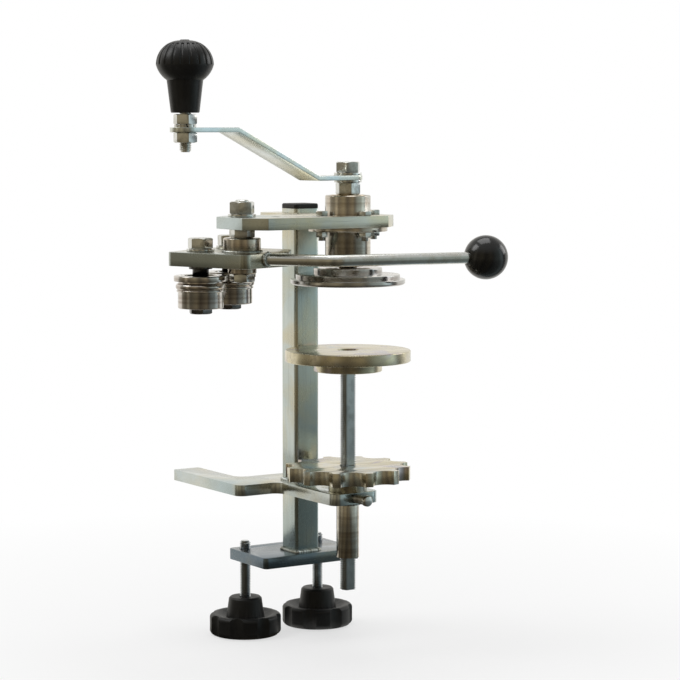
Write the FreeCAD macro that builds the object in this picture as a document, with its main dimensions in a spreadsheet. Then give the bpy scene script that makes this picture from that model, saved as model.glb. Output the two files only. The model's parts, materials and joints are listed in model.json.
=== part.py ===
import FreeCAD, Part
import math
import os
import re
import Sketcher

# Bench-mounted manual can seamer. Millimetres, +Z up.
# Origin: on the column's axis, at the underside of the table bracket (the table's top surface).
# The operator stands on the -Y side; the table lies on the +Y side.

os.makedirs("parts", exist_ok=True)
doc = FreeCAD.newDocument("can_seamer")
sheet = doc.addObject("Spreadsheet::Sheet", "Sizes")

sizes = {
    # clearances
    "running_gap": 0.05,          # radial, shaft in hole
    "face_gap": 0.05,             # between flat faces that turn on each other
    "thread_gap": 0.05,           # radial, screw in its threaded hole
    # column and clamp base
    "column_width": 25.0,
    "column_wall": 2.5,
    "column_corner": 3.0,
    "column_top": 256.0,
    "cap_height": 4.5,
    "cap_plug_depth": 14.0,
    "table_gap": 54.4,            # bracket underside to base plate
    "base_thick": 10.0,
    "base_half_length": 50.5,
    "base_front": 21.5,
    "base_back": 43.5,
    "base_corner": 4.0,
    # clamp screws
    "screw_diameter": 10.0,
    "screw_spread": 39.0,
    "screw_setback": 33.0,
    "screw_proud": 7.4,
    "grip_radius": 32.5,
    "grip_height": 34.5,
    "grip_floor": 12.0,           # solid below the screw's end
    "grip_hub_radius": 15.0,
    "grip_bottom": -133.0,
    "grip_rim_height": 19.0,
    "grip_notch_radius": 9.0,
    "grip_notch_depth": 3.2,
    "grip_notches": 8,
    # table bracket
    "bracket_thick": 10.0,
    "bar_front": 2.0,
    "bar_back": 43.0,
    "bar_left": 66.0,
    "bar_right": 52.0,
    "foot_width": 26.0,
    "foot_back": 117.0,
    "arm_half_width": 24.0,
    "head_overhang": 15.0,
    "bracket_corner": 8.0,
    "bracket_inner_corner": 10.0,
    # spindle line
    "axis_setback": 78.5,         # column axis to spindle axis
    "sleeve_diameter": 20.0,
    "sleeve_length": 48.5,
    "guide_screw_diameter": 8.0,
    "guide_screw_proud": 18.0,
    "guide_head_radius": 4.8,
    "guide_head_length": 4.0,
    "thread_chamfer": 1.0,
    "thread_proud": 1.5,          # screw end above its nut
    # lift rod, star wheel and support
    "rod_diameter": 14.0,
    "rod_flat_depth": 2.2,
    "rod_bottom": -77.5,
    "wheel_radius": 55.0,
    "wheel_thick": 12.0,
    "wheel_collar_radius": 17.0,
    "wheel_collar_height": 11.0,
    "wheel_notch_radius": 11.5,
    "wheel_notch_depth": 8.5,
    "wheel_notches": 12,
    "wheel_phase": 1.8,
    "support_top": 134.7,
    "support_radius": 55.0,
    "support_thick": 10.0,
    "support_hub_radius": 30.0,
    "support_hub_height": 8.7,
    "support_eye_radius": 9.5,
    "support_chamfer": 0.6,
    "bearing_outer": 28.0,
    "bearing_bore": 12.0,
    "bearing_width": 8.0,
    # top plate
    "plate_thick": 10.0,
    "plate_top": 252.5,
    "plate_front": 35.0,
    "plate_left": 118.0,
    "plate_right": 35.0,
    "plate_back": 40.0,
    "plate_tail_half": 32.0,
    "plate_tail_back": 100.0,
    "plate_corner": 16.0,
    "spare_hole_diameter": 9.0,
    "spare_hole_offset": 73.0,
    # spindle housing and its bolts
    "housing_radius": 19.8,
    "housing_top": 269.7,
    "housing_bottom": 208.7,
    "housing_bevel": 0.8,
    "flange_radius": 34.5,
    "flange_thick": 4.0,
    "flange_pitch_radius": 27.0,
    "flange_bolt_diameter": 6.0,
    "flange_bolt_flats": 10.0,
    "flange_bolt_head": 4.0,
    "flange_nut_height": 4.8,
    "flange_bolt_proud": 3.0,
    "flange_bolts": 4,
    # spindle and chuck
    "spindle_diameter": 16.0,
    "spindle_socket_depth": 24.0,
    "socket_spare": 2.0,          # below the crank bolt's end
    "drill_point": 3.0,
    "bush_length": 15.0,
    "bush_wall": 4.0,
    "bush_collar_radius": 15.5,
    "bush_collar": 2.0,
    "bush_proud": 0.3,
    "chuck_bottom": 192.2,
    "chuck_lip_radius": 50.0,
    "chuck_lip_height": 4.5,
    "chuck_step_radius": 45.5,
    "chuck_step_height": 4.2,
    "chuck_hub_radius": 30.0,
    "chuck_hub_top": 206.9,
    "chuck_recess_radius": 41.0,
    "chuck_recess_depth": 3.0,
    "chuck_web": 4.0,
    "chuck_bolt_diameter": 8.0,
    "chuck_bolt_head_height": 2.4,
    "chuck_bolt_head_radius": 7.2,
    # crank
    "crank_width": 25.0,
    "crank_thick": 4.0,
    "crank_radius": 187.0,
    "crank_inner_fold": 46.0,
    "crank_outer_fold": 139.0,
    "crank_rise": 41.3,
    "crank_angle": 192.0,
    "crank_bend_radius": 6.0,
    "crank_stud_drop": 16.0,
    # M12 and M10 hardware
    "big_nut_flats": 19.0,
    "big_nut_height": 10.7,
    "big_thread": 12.0,
    "big_washer_radius": 12.0,
    "big_washer_thick": 2.2,
    "big_head_height": 9.5,
    "mid_nut_flats": 17.0,
    "mid_nut_height": 8.4,
    "mid_thread": 10.0,
    "mid_washer_radius": 9.0,
    "mid_washer_thick": 2.4,
    # crank knob
    "knob_lift": 1.0,             # between the stud's nut and the knob
    "knob_radius": 23.4,
    "knob_cap_radius": 3.9,
    "knob_cap_height": 0.6,
    "knob_widest": 38.7,
    "knob_neck_radius": 14.8,
    "knob_neck_height": 26.3,
    "knob_foot_radius": 11.7,
    "knob_bore_depth": 46.0,
    "knob_flutes": 20,
    "knob_flute_radius": 1.5,
    "knob_flute_depth": 0.7,
    "knob_flute_sweep": 62.0,
    # roller lever
    "pivot_left": 98.0,
    "pivot_back": 15.0,
    "lever_angle": 20.1,
    "lever_top": 222.5,
    "lever_thick": 12.0,
    "lever_corner": 7.0,
    "lever_front": 36.5,
    "lever_front_right": 18.0,
    "lever_shoulder": 8.0,
    "lever_right_margin": 16.0,   # beyond the second roller's axis
    "lever_back_margin": 18.0,
    "lever_back_left": 27.0,
    "lever_left_margin": 24.5,    # beyond the first roller's axis
    "lever_left_back": 17.0,
    "pivot_head_height": 7.4,
    "hub_radius": 16.0,
    "hub_height": 12.0,
    "hub_foot_radius": 12.2,
    "hub_foot_drop": 6.5,
    "handle_diameter": 10.0,
    "handle_rise": 1.0,           # axis above the lever plate's middle
    "handle_foot_left": 10.0,
    "handle_run": 60.0,
    "handle_reach": 140.2,
    "handle_lean": 72.6,
    "handle_turn": 42.9,
    "handle_bend": 18.0,
    "ball_radius": 19.0,
    "ball_flat": 6.0,
    "ball_socket": 8.5,           # solid between the rod's end and the ball's centre
    # rollers
    "first_roller_left": 15.5,
    "first_roller_out": 33.4,
    "second_roller_right": 42.0,
    "second_roller_out": 48.4,
    "roller_height": 28.2,
    "roller_flange_radius": 23.0,
    "roller_flange_thick": 4.8,
    "roller_flange_lift": 0.4,    # flange's underside above the chuck's lip
    "roller_body_radius": 19.6,
    "roller_bead_radius": 21.5,
    "roller_lip_radius": 20.7,
    "roller_web": 6.0,
    "roller_sleeve_wall": 1.0,
    "roller_nut_flats": 18.0,
    "roller_nut_drop": 4.8,
    "roller_spacer_collar": 3.0,
    "first_groove_height": 2.6,
    "first_groove_depth": 2.4,
    "second_groove_height": 3.2,
    "second_groove_depth": 1.4,
}

# how each hexagon happens to stand after tightening, in degrees
nut_turns = {"spindle": 13.5, "crank": 50, "stud": 18, "pivot_head": 20, "pivot": 46, "jam": 24,
             "roller_bolt": 17.5, "roller_nut": 10}

derived = {
    "axis_y": "-axis_setback",
    "base_top": "-table_gap",
    "base_bottom": "base_top - base_thick",
    "wheel_bottom": "bracket_thick + face_gap",
    "support_bottom": "support_top - support_thick",
    "support_hub_bottom": "support_bottom - support_hub_height",
    "bearing_bottom": "support_bottom - bearing_width - face_gap",
    "plate_bottom": "plate_top - plate_thick",
    "flange_bottom": "plate_bottom - flange_thick",
    "bush_radius": "spindle_diameter / 2 + bush_wall",
    "spindle_shoulder": "housing_top + bush_proud + face_gap",
    "spindle_nut_top": "spindle_shoulder + big_nut_height",
    "crank_bottom": "spindle_nut_top + big_washer_thick",
    "crank_top": "crank_bottom + crank_thick",
    "crank_outer_top": "crank_top + crank_rise",
    "crank_outer_bottom": "crank_outer_top - crank_thick",
    "stud_bottom": "crank_outer_bottom - crank_stud_drop",
    "knob_bottom": "crank_outer_top + mid_washer_thick + mid_nut_height + knob_lift",
    "knob_dome": "knob_radius - knob_cap_radius",
    "lever_bottom": "lever_top - lever_thick",
    "hub_top": "lever_top + hub_height",
    "pivot_x": "-pivot_left",
    "pivot_y": "axis_y + pivot_back",
    "handle_z": "lever_top - lever_thick / 2 + handle_rise",
    "handle_angle": "lever_angle - handle_lean",
    "screw_top": "base_top + screw_proud",
    "chuck_lip_top": "chuck_bottom + chuck_lip_height",
    "roller_top": "chuck_lip_top + roller_flange_lift + roller_flange_thick",
    "roller_bottom": "roller_top - roller_height",
    "roller_recess": "(roller_height - roller_web) / 2 - bearing_width",
    "roller_sleeve_radius": "big_thread / 2 + thread_gap + roller_sleeve_wall",
}

row = 0
for alias, value in list(sizes.items()) + [(name, "=" + text) for name, text in derived.items()]:
    row += 1
    sheet.set(f"A{row}", alias)
    sheet.set(f"B{row}", str(value))
    sheet.setAlias(f"B{row}", alias)
    if isinstance(value, str):
        doc.recompute()
doc.recompute()

known_words = set(sizes) | set(derived)


def bound(text):
    """The expression with every size's name pointed at the sheet."""
    def point_to_sheet(found):
        return "Sizes." + found[0] if found[0] in known_words else found[0]
    return re.sub(r"[a-z_]{3,}", point_to_sheet, text)


def number(text):
    return float(sheet.evalExpression(bound(str(text))))


pieces = []


def keep(piece, label):
    piece.Label = label
    pieces.append(piece)
    return piece


def place(piece, spot, turn=0.0):
    """Moves a piece to (x, y, z), given as expressions, turned about Z by an expression in degrees."""
    for axis, text in zip("xyz", spot):
        piece.setExpression(f".Placement.Base.{axis}", bound(str(text)))
    if turn:
        piece.setExpression(".Placement.Rotation.Angle", bound(str(turn)))
    return piece


def plane_of(body, role):
    return next(feature for feature in body.Origin.OriginFeatures if feature.Role == role)


def sketch_on(body, name, role):
    sketch = body.newObject("Sketcher::SketchObject", name)
    sketch.AttachmentSupport = (plane_of(body, role), "")
    sketch.MapMode = "FlatFace"
    return sketch


def pin_point(sketch, geometry, end, point):
    """Ties one end of a line or arc to the origin by two bound distances."""
    for kind, text in zip(("DistanceX", "DistanceY"), point):
        index = sketch.addConstraint(Sketcher.Constraint(kind, -1, 1, geometry, end, number(text)))
        sketch.setExpression(f"Constraints[{index}]", bound(str(text)))


def outline(body, name, role, points):
    """A closed outline. A point is (across, up); a third and fourth value make the way to it an arc
    through that middle point."""
    sketch = sketch_on(body, name, role)
    corners = [FreeCAD.Vector(number(point[0]), number(point[1]), 0) for point in points]
    count = len(points)
    for index in range(count):
        start = corners[index]
        after = points[(index + 1) % count]
        end = corners[(index + 1) % count]
        if len(after) == 4:
            middle = FreeCAD.Vector(number(after[2]), number(after[3]), 0)
            sketch.addGeometry(Part.Arc(start, middle, end))
        else:
            sketch.addGeometry(Part.LineSegment(start, end))
    ends = []
    for index in range(count):
        geometry = sketch.Geometry[index]
        first = geometry.StartPoint if hasattr(geometry, "StartPoint") else geometry.startPoint()
        ends.append((1, 2) if first.distanceToPoint(corners[index]) < 1e-6 else (2, 1))
    for index in range(count):
        following = (index + 1) % count
        meeting = (index, ends[index][1], following, ends[following][0])
        sketch.addConstraint(Sketcher.Constraint("Coincident", *meeting))
    for index in range(count):
        pin_point(sketch, index, ends[index][0], points[index])
    return sketch


def square_corners(half):
    """Corners of a square about the origin, half its side away from it."""
    return [(f"-({half})", f"-({half})"), (half, f"-({half})"), (half, half), (f"-({half})", half)]


def circles(body, name, role, spots):
    """Circles at (across, up, radius)."""
    sketch = sketch_on(body, name, role)
    for index, (across, up, radius) in enumerate(spots):
        centre = FreeCAD.Vector(number(across), number(up), 0)
        sketch.addGeometry(Part.Circle(centre, FreeCAD.Vector(0, 0, 1), number(radius)))
        pin_point(sketch, index, 3, (across, up))
        ring = sketch.addConstraint(Sketcher.Constraint("Radius", index, number(radius)))
        sketch.setExpression(f"Constraints[{ring}]", bound(str(radius)))
    return sketch


def new_body(name):
    return doc.addObject("PartDesign::Body", name)


def pad(body, name, sketch, length, midplane=False, downwards=False):
    feature = body.newObject("PartDesign::Pad", name)
    feature.Profile = sketch
    feature.setExpression("Length", bound(str(length)))
    if midplane:
        feature.SideType = "Symmetric"
    feature.Reversed = downwards
    return feature


def pocket_through(body, name, sketch):
    """Cuts the sketch through the whole body, both ways."""
    feature = body.newObject("PartDesign::Pocket", name)
    feature.Profile = sketch
    feature.Type = "ThroughAll"
    feature.SideType = "Symmetric"
    return feature


def pocket(body, name, sketch, depth, upwards=False):
    feature = body.newObject("PartDesign::Pocket", name)
    feature.Profile = sketch
    feature.setExpression("Length", bound(str(depth)))
    feature.Reversed = upwards
    return feature


def turned(label, points, spot, name=None):
    """A lathe piece: an outline of (radius, height) turned about the body's Z axis."""
    body = new_body(name or label)
    sketch = outline(body, label + "_profile", "XZ_Plane", points)
    turning = body.newObject("PartDesign::Revolution", label + "_turning")
    turning.Profile = sketch
    turning.ReferenceAxis = (sketch, ["V_Axis"])
    turning.Angle = 360.0
    place(body, spot)
    return body


def ring(label, inner, outer, height, spot):
    return turned(label, [(inner, 0), (outer, 0), (outer, height), (inner, height)], spot)


def around(body, name, feature, count):
    pattern = body.newObject("PartDesign::PolarPattern", name)
    pattern.Originals = [feature]
    pattern.Axis = (feature.Profile[0], ["N_Axis"])
    pattern.Angle = 360.0
    pattern.setExpression("Occurrences", bound(count))
    body.Tip = pattern
    return pattern


def round_edges(body, name, radius, wanted):
    """Fillets the edges of the body's tip that the test picks."""
    doc.recompute()
    base = body.Tip
    chosen = [f"Edge{index + 1}" for index, edge in enumerate(base.Shape.Edges) if wanted(edge)]
    fillet = body.newObject("PartDesign::Fillet", name)
    fillet.Base = (base, chosen)
    fillet.setExpression("Radius", bound(str(radius)))
    return fillet


def chamfer_edges(body, name, width, wanted):
    doc.recompute()
    base = body.Tip
    chosen = [f"Edge{index + 1}" for index, edge in enumerate(base.Shape.Edges) if wanted(edge)]
    chamfer = body.newObject("PartDesign::Chamfer", name)
    chamfer.Base = (base, chosen)
    chamfer.setExpression("Size", bound(str(width)))
    return chamfer


def is_upright(edge):
    along = edge.Vertexes[-1].Point - edge.Vertexes[0].Point
    return len(edge.Vertexes) == 2 and math.hypot(along.x, along.y) < 1e-6


def upright_at(edge, spots, reach=1.0):
    """True for an upright edge within reach of one of the (x, y) spots."""
    if not is_upright(edge):
        return False
    here = edge.Vertexes[0].Point
    return any(math.hypot(here.x - number(x), here.y - number(y)) < reach for x, y in spots)


def hexagon(label, flats, height, bore, spot, turn=0.0):
    """A hexagon nut or head with turned corners, and a bore unless that is None."""
    prism = doc.addObject("Part::Prism", label + "_prism")
    prism.Polygon = 6
    prism.setExpression("Circumradius", bound(f"({flats}) / sqrt(3)"))
    prism.setExpression("Height", bound(height))
    corner = f"({flats}) * 0.578"
    bevel = f"({flats}) * 0.045"
    blank = turned(label + "_blank", [
        (0, 0), (f"({flats}) * 0.49", 0), (corner, bevel),
        (corner, f"({height}) - {bevel}"), (f"({flats}) * 0.49", height), (0, height)], (0, 0, 0))
    piece = doc.addObject("Part::Common", label)
    piece.Base = prism
    piece.Tool = blank
    if bore is not None:
        hole = doc.addObject("Part::Cylinder", label + "_bore")
        hole.setExpression("Radius", bound(bore))
        hole.setExpression("Height", bound(height))
        solid = piece
        solid.Label = label + "_solid"
        piece = doc.addObject("Part::Cut", label + "_nut")
        piece.Base = solid
        piece.Tool = hole
    place(piece, spot, turn)
    return piece


def fused(label, members, spot=(0, 0, 0), turn=0.0):
    piece = doc.addObject("Part::MultiFuse", label)
    piece.Shapes = members
    place(piece, spot, turn)
    return piece


def group(label, master, offsets):
    """Copies of one solid in a single node, each at its own (x, y, z) offset from the master."""
    doc.recompute()
    copies = []
    for x, y, z in offsets:
        copy = master.Shape.copy()
        copy.translate(FreeCAD.Vector(number(x), number(y), number(z)))
        copies.append(copy)
    piece = doc.addObject("Part::Feature", label)
    piece.Shape = Part.makeCompound(copies)
    piece.Placement = FreeCAD.Placement()
    return piece


# ---------------------------------------------------------------- frame

def make_column():
    """Square steel tube that carries the top plate."""
    body = new_body("column")
    half = "column_width / 2"
    inner = "column_width / 2 - column_wall"
    tube = outline(body, "column_outline", "XY_Plane", square_corners(half))
    pad(body, "column_bar", tube, "column_top - base_top")
    round_edges(body, "column_corners", "column_corner", is_upright)
    pocket_through(body, "column_hollow", outline(body, "column_bore", "XY_Plane", square_corners(inner)))
    keep(place(body, (0, 0, "base_top")), "column")


def make_column_cap():
    """Moulded plug that closes the tube's top end."""
    body = new_body("column_cap")
    lid = outline(body, "cap_outline", "XY_Plane", square_corners("column_width / 2"))
    pad(body, "cap_lid", lid, "cap_height")
    round_edges(body, "cap_corners", "column_corner", is_upright)
    top = number("cap_height")
    round_edges(body, "cap_rim", "cap_height / 3",
                lambda edge: all(abs(vertex.Point.z - top) < 1e-6 for vertex in edge.Vertexes))
    plug = outline(body, "plug_outline", "XY_Plane", square_corners("column_width / 2 - column_wall"))
    pad(body, "cap_plug", plug, "cap_plug_depth", downwards=True)
    keep(place(body, (0, 0, "column_top")), "column_cap")


def make_base_plate():
    """Clamp plate at the column's foot, with the two threaded holes for the clamp screws."""
    body = new_body("base_plate")
    left, right = "-base_half_length", "base_half_length"
    front, back = "-base_front", "base_back"
    corners = [(left, front), (right, front), (right, back), (left, back)]
    pad(body, "base_slab", outline(body, "base_outline", "XY_Plane", corners), "base_thick")
    round_edges(body, "base_corners", "base_corner", is_upright)
    bore = "screw_diameter / 2 + thread_gap"
    holes = circles(body, "screw_holes", "XY_Plane",
                    [("-screw_spread", "screw_setback", bore), ("screw_spread", "screw_setback", bore)])
    pocket_through(body, "screw_threads", holes)
    keep(place(body, (0, 0, "base_bottom")), "base_plate")


def make_table_bracket():
    """Cut plate: foot and bar that lie on the table, and the arm that guides the lift rod."""
    body = new_body("table_bracket")
    head = "axis_y - head_overhang"
    foot_inner = "foot_width - bar_left"
    points = [("-arm_half_width", head), ("arm_half_width", head), ("arm_half_width", "-bar_front"),
              ("bar_right", "-bar_front"), ("bar_right", "bar_back"), (foot_inner, "bar_back"),
              (foot_inner, "foot_back"), ("-bar_left", "foot_back"), ("-bar_left", "-bar_front"),
              ("-arm_half_width", "-bar_front")]
    pad(body, "bracket_slab", outline(body, "bracket_outline", "XY_Plane", points), "bracket_thick")
    outer = [("-arm_half_width", head), ("arm_half_width", head), ("bar_right", "-bar_front"),
             ("bar_right", "bar_back"), ("-bar_left", "-bar_front")]
    inner = [("-arm_half_width", "-bar_front"), ("arm_half_width", "-bar_front"), (foot_inner, "bar_back")]
    round_edges(body, "bracket_outer_corners", "bracket_corner", lambda edge: upright_at(edge, outer))
    round_edges(body, "bracket_inner_corners", "bracket_inner_corner", lambda edge: upright_at(edge, inner))
    window = square_corners("column_width / 2")
    pocket_through(body, "column_window", outline(body, "window_outline", "XY_Plane", window))
    round_edges(body, "window_corners", "column_corner", lambda edge: upright_at(edge, window))
    eye = circles(body, "sleeve_eye", "XY_Plane", [(0, "axis_y", "sleeve_diameter / 2 + thread_gap")])
    pocket_through(body, "sleeve_passage", eye)
    side = circles(body, "guide_screw_hole", "XZ_Plane",
                   [(0, "bracket_thick / 2", "guide_screw_diameter / 2 + thread_gap")])
    side.setExpression(".AttachmentOffset.Base.z", bound("-axis_y"))
    pocket(body, "guide_screw_thread", side, "head_overhang + 1", upwards=True)
    keep(body, "table_bracket")


def make_guide_sleeve():
    """Tube welded through the arm's head, which keeps the lift rod upright."""
    body = ring("guide_sleeve", "rod_diameter / 2 + running_gap", "sleeve_diameter / 2",
                "sleeve_length + bracket_thick", (0, "axis_y", "-sleeve_length"))
    side = circles(body, "sleeve_screw_hole", "XZ_Plane",
                   [(0, "sleeve_length + bracket_thick / 2", "guide_screw_diameter / 2 + thread_gap")])
    pocket(body, "sleeve_screw_thread", side, "sleeve_diameter", upwards=True)
    keep(body, "guide_sleeve")


def make_top_plate():
    """Cut plate on the column's top that carries the spindle housing and the lever's pivot."""
    body = new_body("top_plate")
    c = "plate_corner"
    points = [("-plate_left", f"-plate_front + {c}"), (f"{c} - plate_left", "-plate_front"),
              (f"plate_right - {c}", "-plate_front"), ("plate_right", f"-plate_front + {c}"),
              ("plate_right", "plate_back"), ("plate_tail_half", "plate_tail_back"),
              ("-plate_tail_half", "plate_tail_back"), ("-plate_tail_half", "plate_back"),
              (f"{c} - plate_left", "plate_back"), ("-plate_left", f"plate_back - {c}")]
    pad(body, "plate_slab", outline(body, "plate_outline", "XY_Plane", points), "plate_thick")
    tail = [("plate_tail_half", "plate_tail_back"), ("-plate_tail_half", "plate_tail_back"),
            ("-plate_tail_half", "plate_back")]
    round_edges(body, "tail_corners", "plate_corner / 2", lambda edge: upright_at(edge, tail))
    half = "column_width / 2"
    near, far = f"axis_setback - {half}", f"axis_setback + {half}"
    window = [(f"-{half}", near), (half, near), (half, far), (f"-{half}", far)]
    pocket_through(body, "plate_window", outline(body, "plate_window_outline", "XY_Plane", window))
    round_edges(body, "plate_window_corners", "column_corner", lambda edge: upright_at(edge, window))
    spots = [(0, 0, "housing_radius + running_gap"),
             ("-pivot_left", "pivot_back", "big_thread / 2 + thread_gap"),
             ("-spare_hole_offset", 0, "spare_hole_diameter / 2")]
    reach = "flange_pitch_radius"
    for across, up in ((reach, 0), (f"-{reach}", 0), (0, reach), (0, f"-{reach}")):
        spots.append((across, up, "flange_bolt_diameter / 2 + thread_gap"))
    pocket_through(body, "plate_holes", circles(body, "plate_hole_circles", "XY_Plane", spots))
    keep(place(body, (0, "axis_y", "plate_bottom")), "top_plate")


# ---------------------------------------------------------------- spindle housing

def make_housing():
    """Turned housing with a bolting flange; it passes up through the top plate."""
    bore = "bush_radius + running_gap"
    neck = "spindle_diameter / 2 + 2"
    seat = "bush_collar_radius + running_gap"
    tall = "housing_top - housing_bottom"
    step = f"{tall} + bush_proud - bush_collar"
    points = [(bore, 0), ("housing_radius", 0), ("housing_radius", "flange_bottom - housing_bottom"),
              ("flange_radius", "flange_bottom - housing_bottom"),
              ("flange_radius", "plate_bottom - housing_bottom"),
              ("housing_radius", "plate_bottom - housing_bottom"),
              ("housing_radius", tall), (seat, tall), (seat, step), (bore, step),
              (bore, f"{step} - bush_length"), (neck, f"{step} - bush_length"), (neck, "bush_length"),
              (bore, "bush_length")]
    body = turned("spindle_housing", points, (0, "axis_y", "housing_bottom"))
    reach = "flange_pitch_radius"
    spots = [(across, up, "flange_bolt_diameter / 2 + thread_gap")
             for across, up in ((reach, 0), (f"-{reach}", 0), (0, reach), (0, f"-{reach}"))]
    pocket_through(body, "flange_holes", circles(body, "flange_hole_circles", "XY_Plane", spots))
    top = number("housing_top - housing_bottom")
    rim = number("housing_radius")
    chamfer_edges(body, "housing_bevelled", "housing_bevel",
                  lambda edge: len(edge.Vertexes) == 1 and abs(edge.Vertexes[0].Point.z - top) < 1e-6
                  and abs(math.hypot(edge.Vertexes[0].Point.x, edge.Vertexes[0].Point.y) - rim) < 1e-6)
    keep(body, "spindle_housing")


def make_bushes():
    """Two collared bronze bushes in which the spindle turns."""
    inner = "spindle_diameter / 2 + running_gap"
    points = [(inner, 0), ("bush_radius", 0), ("bush_radius", "bush_length"),
              ("bush_collar_radius", "bush_length"), ("bush_collar_radius", "bush_length + bush_collar"),
              (inner, "bush_length + bush_collar")]
    upper = turned("upper_bush", points,
                   (0, "axis_y", "housing_top + bush_proud - bush_collar - bush_length"))
    keep(upper, "upper_bush")
    lower = ring("lower_bush", inner, "bush_radius", "bush_length", (0, "axis_y", "housing_bottom"))
    keep(lower, "lower_bush")


def make_flange_bolts():
    """Four small hexagon bolts, heads above the plate, and their nuts below the flange."""
    flats, head, nut = "flange_bolt_flats", "flange_bolt_head", "flange_nut_height"
    shank_length = f"plate_thick + flange_thick + {nut} + flange_bolt_proud"
    shank = doc.addObject("Part::Cylinder", "flange_shank")
    shank.setExpression("Radius", bound("flange_bolt_diameter / 2"))
    shank.setExpression("Height", bound(shank_length))
    place(shank, (0, 0, f"-({shank_length})"))
    cap = hexagon("flange_head", flats, head, None, (0, 0, 0))
    bolt = fused("flange_bolt_master", [shank, cap], (0, "axis_y", "plate_top"))
    nut_piece = hexagon("flange_nut_master", flats, nut, "flange_bolt_diameter / 2 + thread_gap / 2",
                        (0, "axis_y", f"flange_bottom - {nut}"))
    reach = "flange_pitch_radius"
    around_axis = [(reach, 0, 0), (f"-{reach}", 0, 0), (0, reach, 0), (0, f"-{reach}", 0)]
    keep(group("flange_bolt_set", bolt, around_axis), "flange_bolts")
    keep(group("flange_nut_set", nut_piece, around_axis), "flange_nuts")


# ---------------------------------------------------------------- spindle, chuck and crank

def make_spindle():
    """Shaft from the chuck up through the housing, with a tapped socket in its top end."""
    low = "chuck_bottom + chuck_recess_depth + chuck_web"
    socket = "spindle_socket_depth"
    tall = f"spindle_shoulder - ({low})"
    bore = "big_thread / 2 + thread_gap"
    points = [(0, 0), ("spindle_diameter / 2", 0), ("spindle_diameter / 2", tall), (bore, tall),
              (bore, f"{tall} - {socket}"), (0, f"{tall} - {socket} - drill_point")]
    keep(turned("spindle", points, (0, "axis_y", low)), "spindle")


def make_chuck():
    """Seaming chuck: the lip that fits the can's lid, a step, and a hub that grips the spindle."""
    bore, floor = "spindle_diameter / 2", "chuck_recess_depth + chuck_web"
    lip, step = "chuck_lip_height", "chuck_lip_height + chuck_step_height"
    hub = "chuck_hub_top - chuck_bottom"
    points = [("chuck_bolt_diameter / 2", "chuck_recess_depth"),
              ("chuck_recess_radius", "chuck_recess_depth"),
              ("chuck_recess_radius", 0), ("chuck_lip_radius - 1.2", 0), ("chuck_lip_radius", 1.2),
              ("chuck_lip_radius", lip), ("chuck_step_radius", lip), ("chuck_step_radius", step),
              ("chuck_hub_radius", step), ("chuck_hub_radius", f"{hub} - 0.6"),
              ("chuck_hub_radius - 0.6", hub),
              (bore, hub), (bore, floor), ("chuck_bolt_diameter / 2", floor)]
    keep(turned("chuck", points, (0, "axis_y", "chuck_bottom")), "chuck")


def make_chuck_bolt():
    """Flat-headed screw that holds the chuck up against the spindle's end."""
    head = turned("chuck_bolt_head", [(0, 0), ("chuck_bolt_head_radius", 0),
                                      ("chuck_bolt_head_radius", "chuck_bolt_head_height"),
                                      (0, "chuck_bolt_head_height")],
                  (0, "axis_y", "chuck_bottom + chuck_recess_depth - chuck_bolt_head_height"))
    shank = turned("chuck_bolt_shank", [(0, 0), ("chuck_bolt_diameter / 2", 0),
                                        ("chuck_bolt_diameter / 2", "chuck_web"), (0, "chuck_web")],
                   (0, "axis_y", "chuck_bottom + chuck_recess_depth"))
    keep(fused("chuck_bolt_whole", [head, shank]), "chuck_bolt")


def make_crank_arm():
    """Flat bar, cranked upwards by two bends, with round ends."""
    body = new_body("crank_arm")
    half = "crank_width / 2"
    tall, end = "crank_thick", f"crank_radius + {half}"
    slope_in, slope_out, rise = "crank_inner_fold", "crank_outer_fold", "crank_rise"
    # the bar's thickness is kept along the slope
    lead = "crank_thick * (sqrt((crank_outer_fold - crank_inner_fold)^2 + crank_rise^2)" \
           " - (crank_outer_fold - crank_inner_fold)) / crank_rise"
    points = [(f"-{half}", 0), (f"{slope_in} + ({lead}) / 2", 0),
              (f"{slope_out} + ({lead}) / 2", rise), (end, rise),
              (end, f"{rise} + {tall}"), (f"{slope_out} - ({lead}) / 2", f"{rise} + {tall}"),
              (f"{slope_in} - ({lead}) / 2", tall), (f"-{half}", tall)]
    pad(body, "crank_strip", outline(body, "crank_side", "XZ_Plane", points), "crank_width", midplane=True)
    inner_end, outer_end = -number(half), number(end)

    def is_end(edge):
        here = edge.Vertexes[0].Point
        return is_upright(edge) and (abs(here.x - inner_end) < 1e-6 or abs(here.x - outer_end) < 1e-6)

    round_edges(body, "crank_ends", "crank_width / 2 - 0.05", is_end)
    folds = [number(f"{slope_in} + ({lead}) / 2"), number(f"{slope_out} + ({lead}) / 2"),
             number(f"{slope_out} - ({lead}) / 2"), number(f"{slope_in} - ({lead}) / 2")]

    def is_fold(edge):
        if len(edge.Vertexes) != 2:
            return False
        first, second = (vertex.Point for vertex in edge.Vertexes)
        across = abs(first.y - second.y) > 1 and abs(first.x - second.x) < 1e-6
        return across and any(abs(first.x - fold) < 1e-4 for fold in folds)

    round_edges(body, "crank_folds", "crank_bend_radius", is_fold)
    eyes = circles(body, "crank_eyes", "XY_Plane",
                   [(0, 0, "big_thread / 2 + thread_gap"),
                    ("crank_radius", 0, "mid_thread / 2 + thread_gap")])
    pocket_through(body, "crank_holes", eyes)
    keep(place(body, (0, "axis_y", "crank_bottom"), "crank_angle"), "crank_arm")


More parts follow.
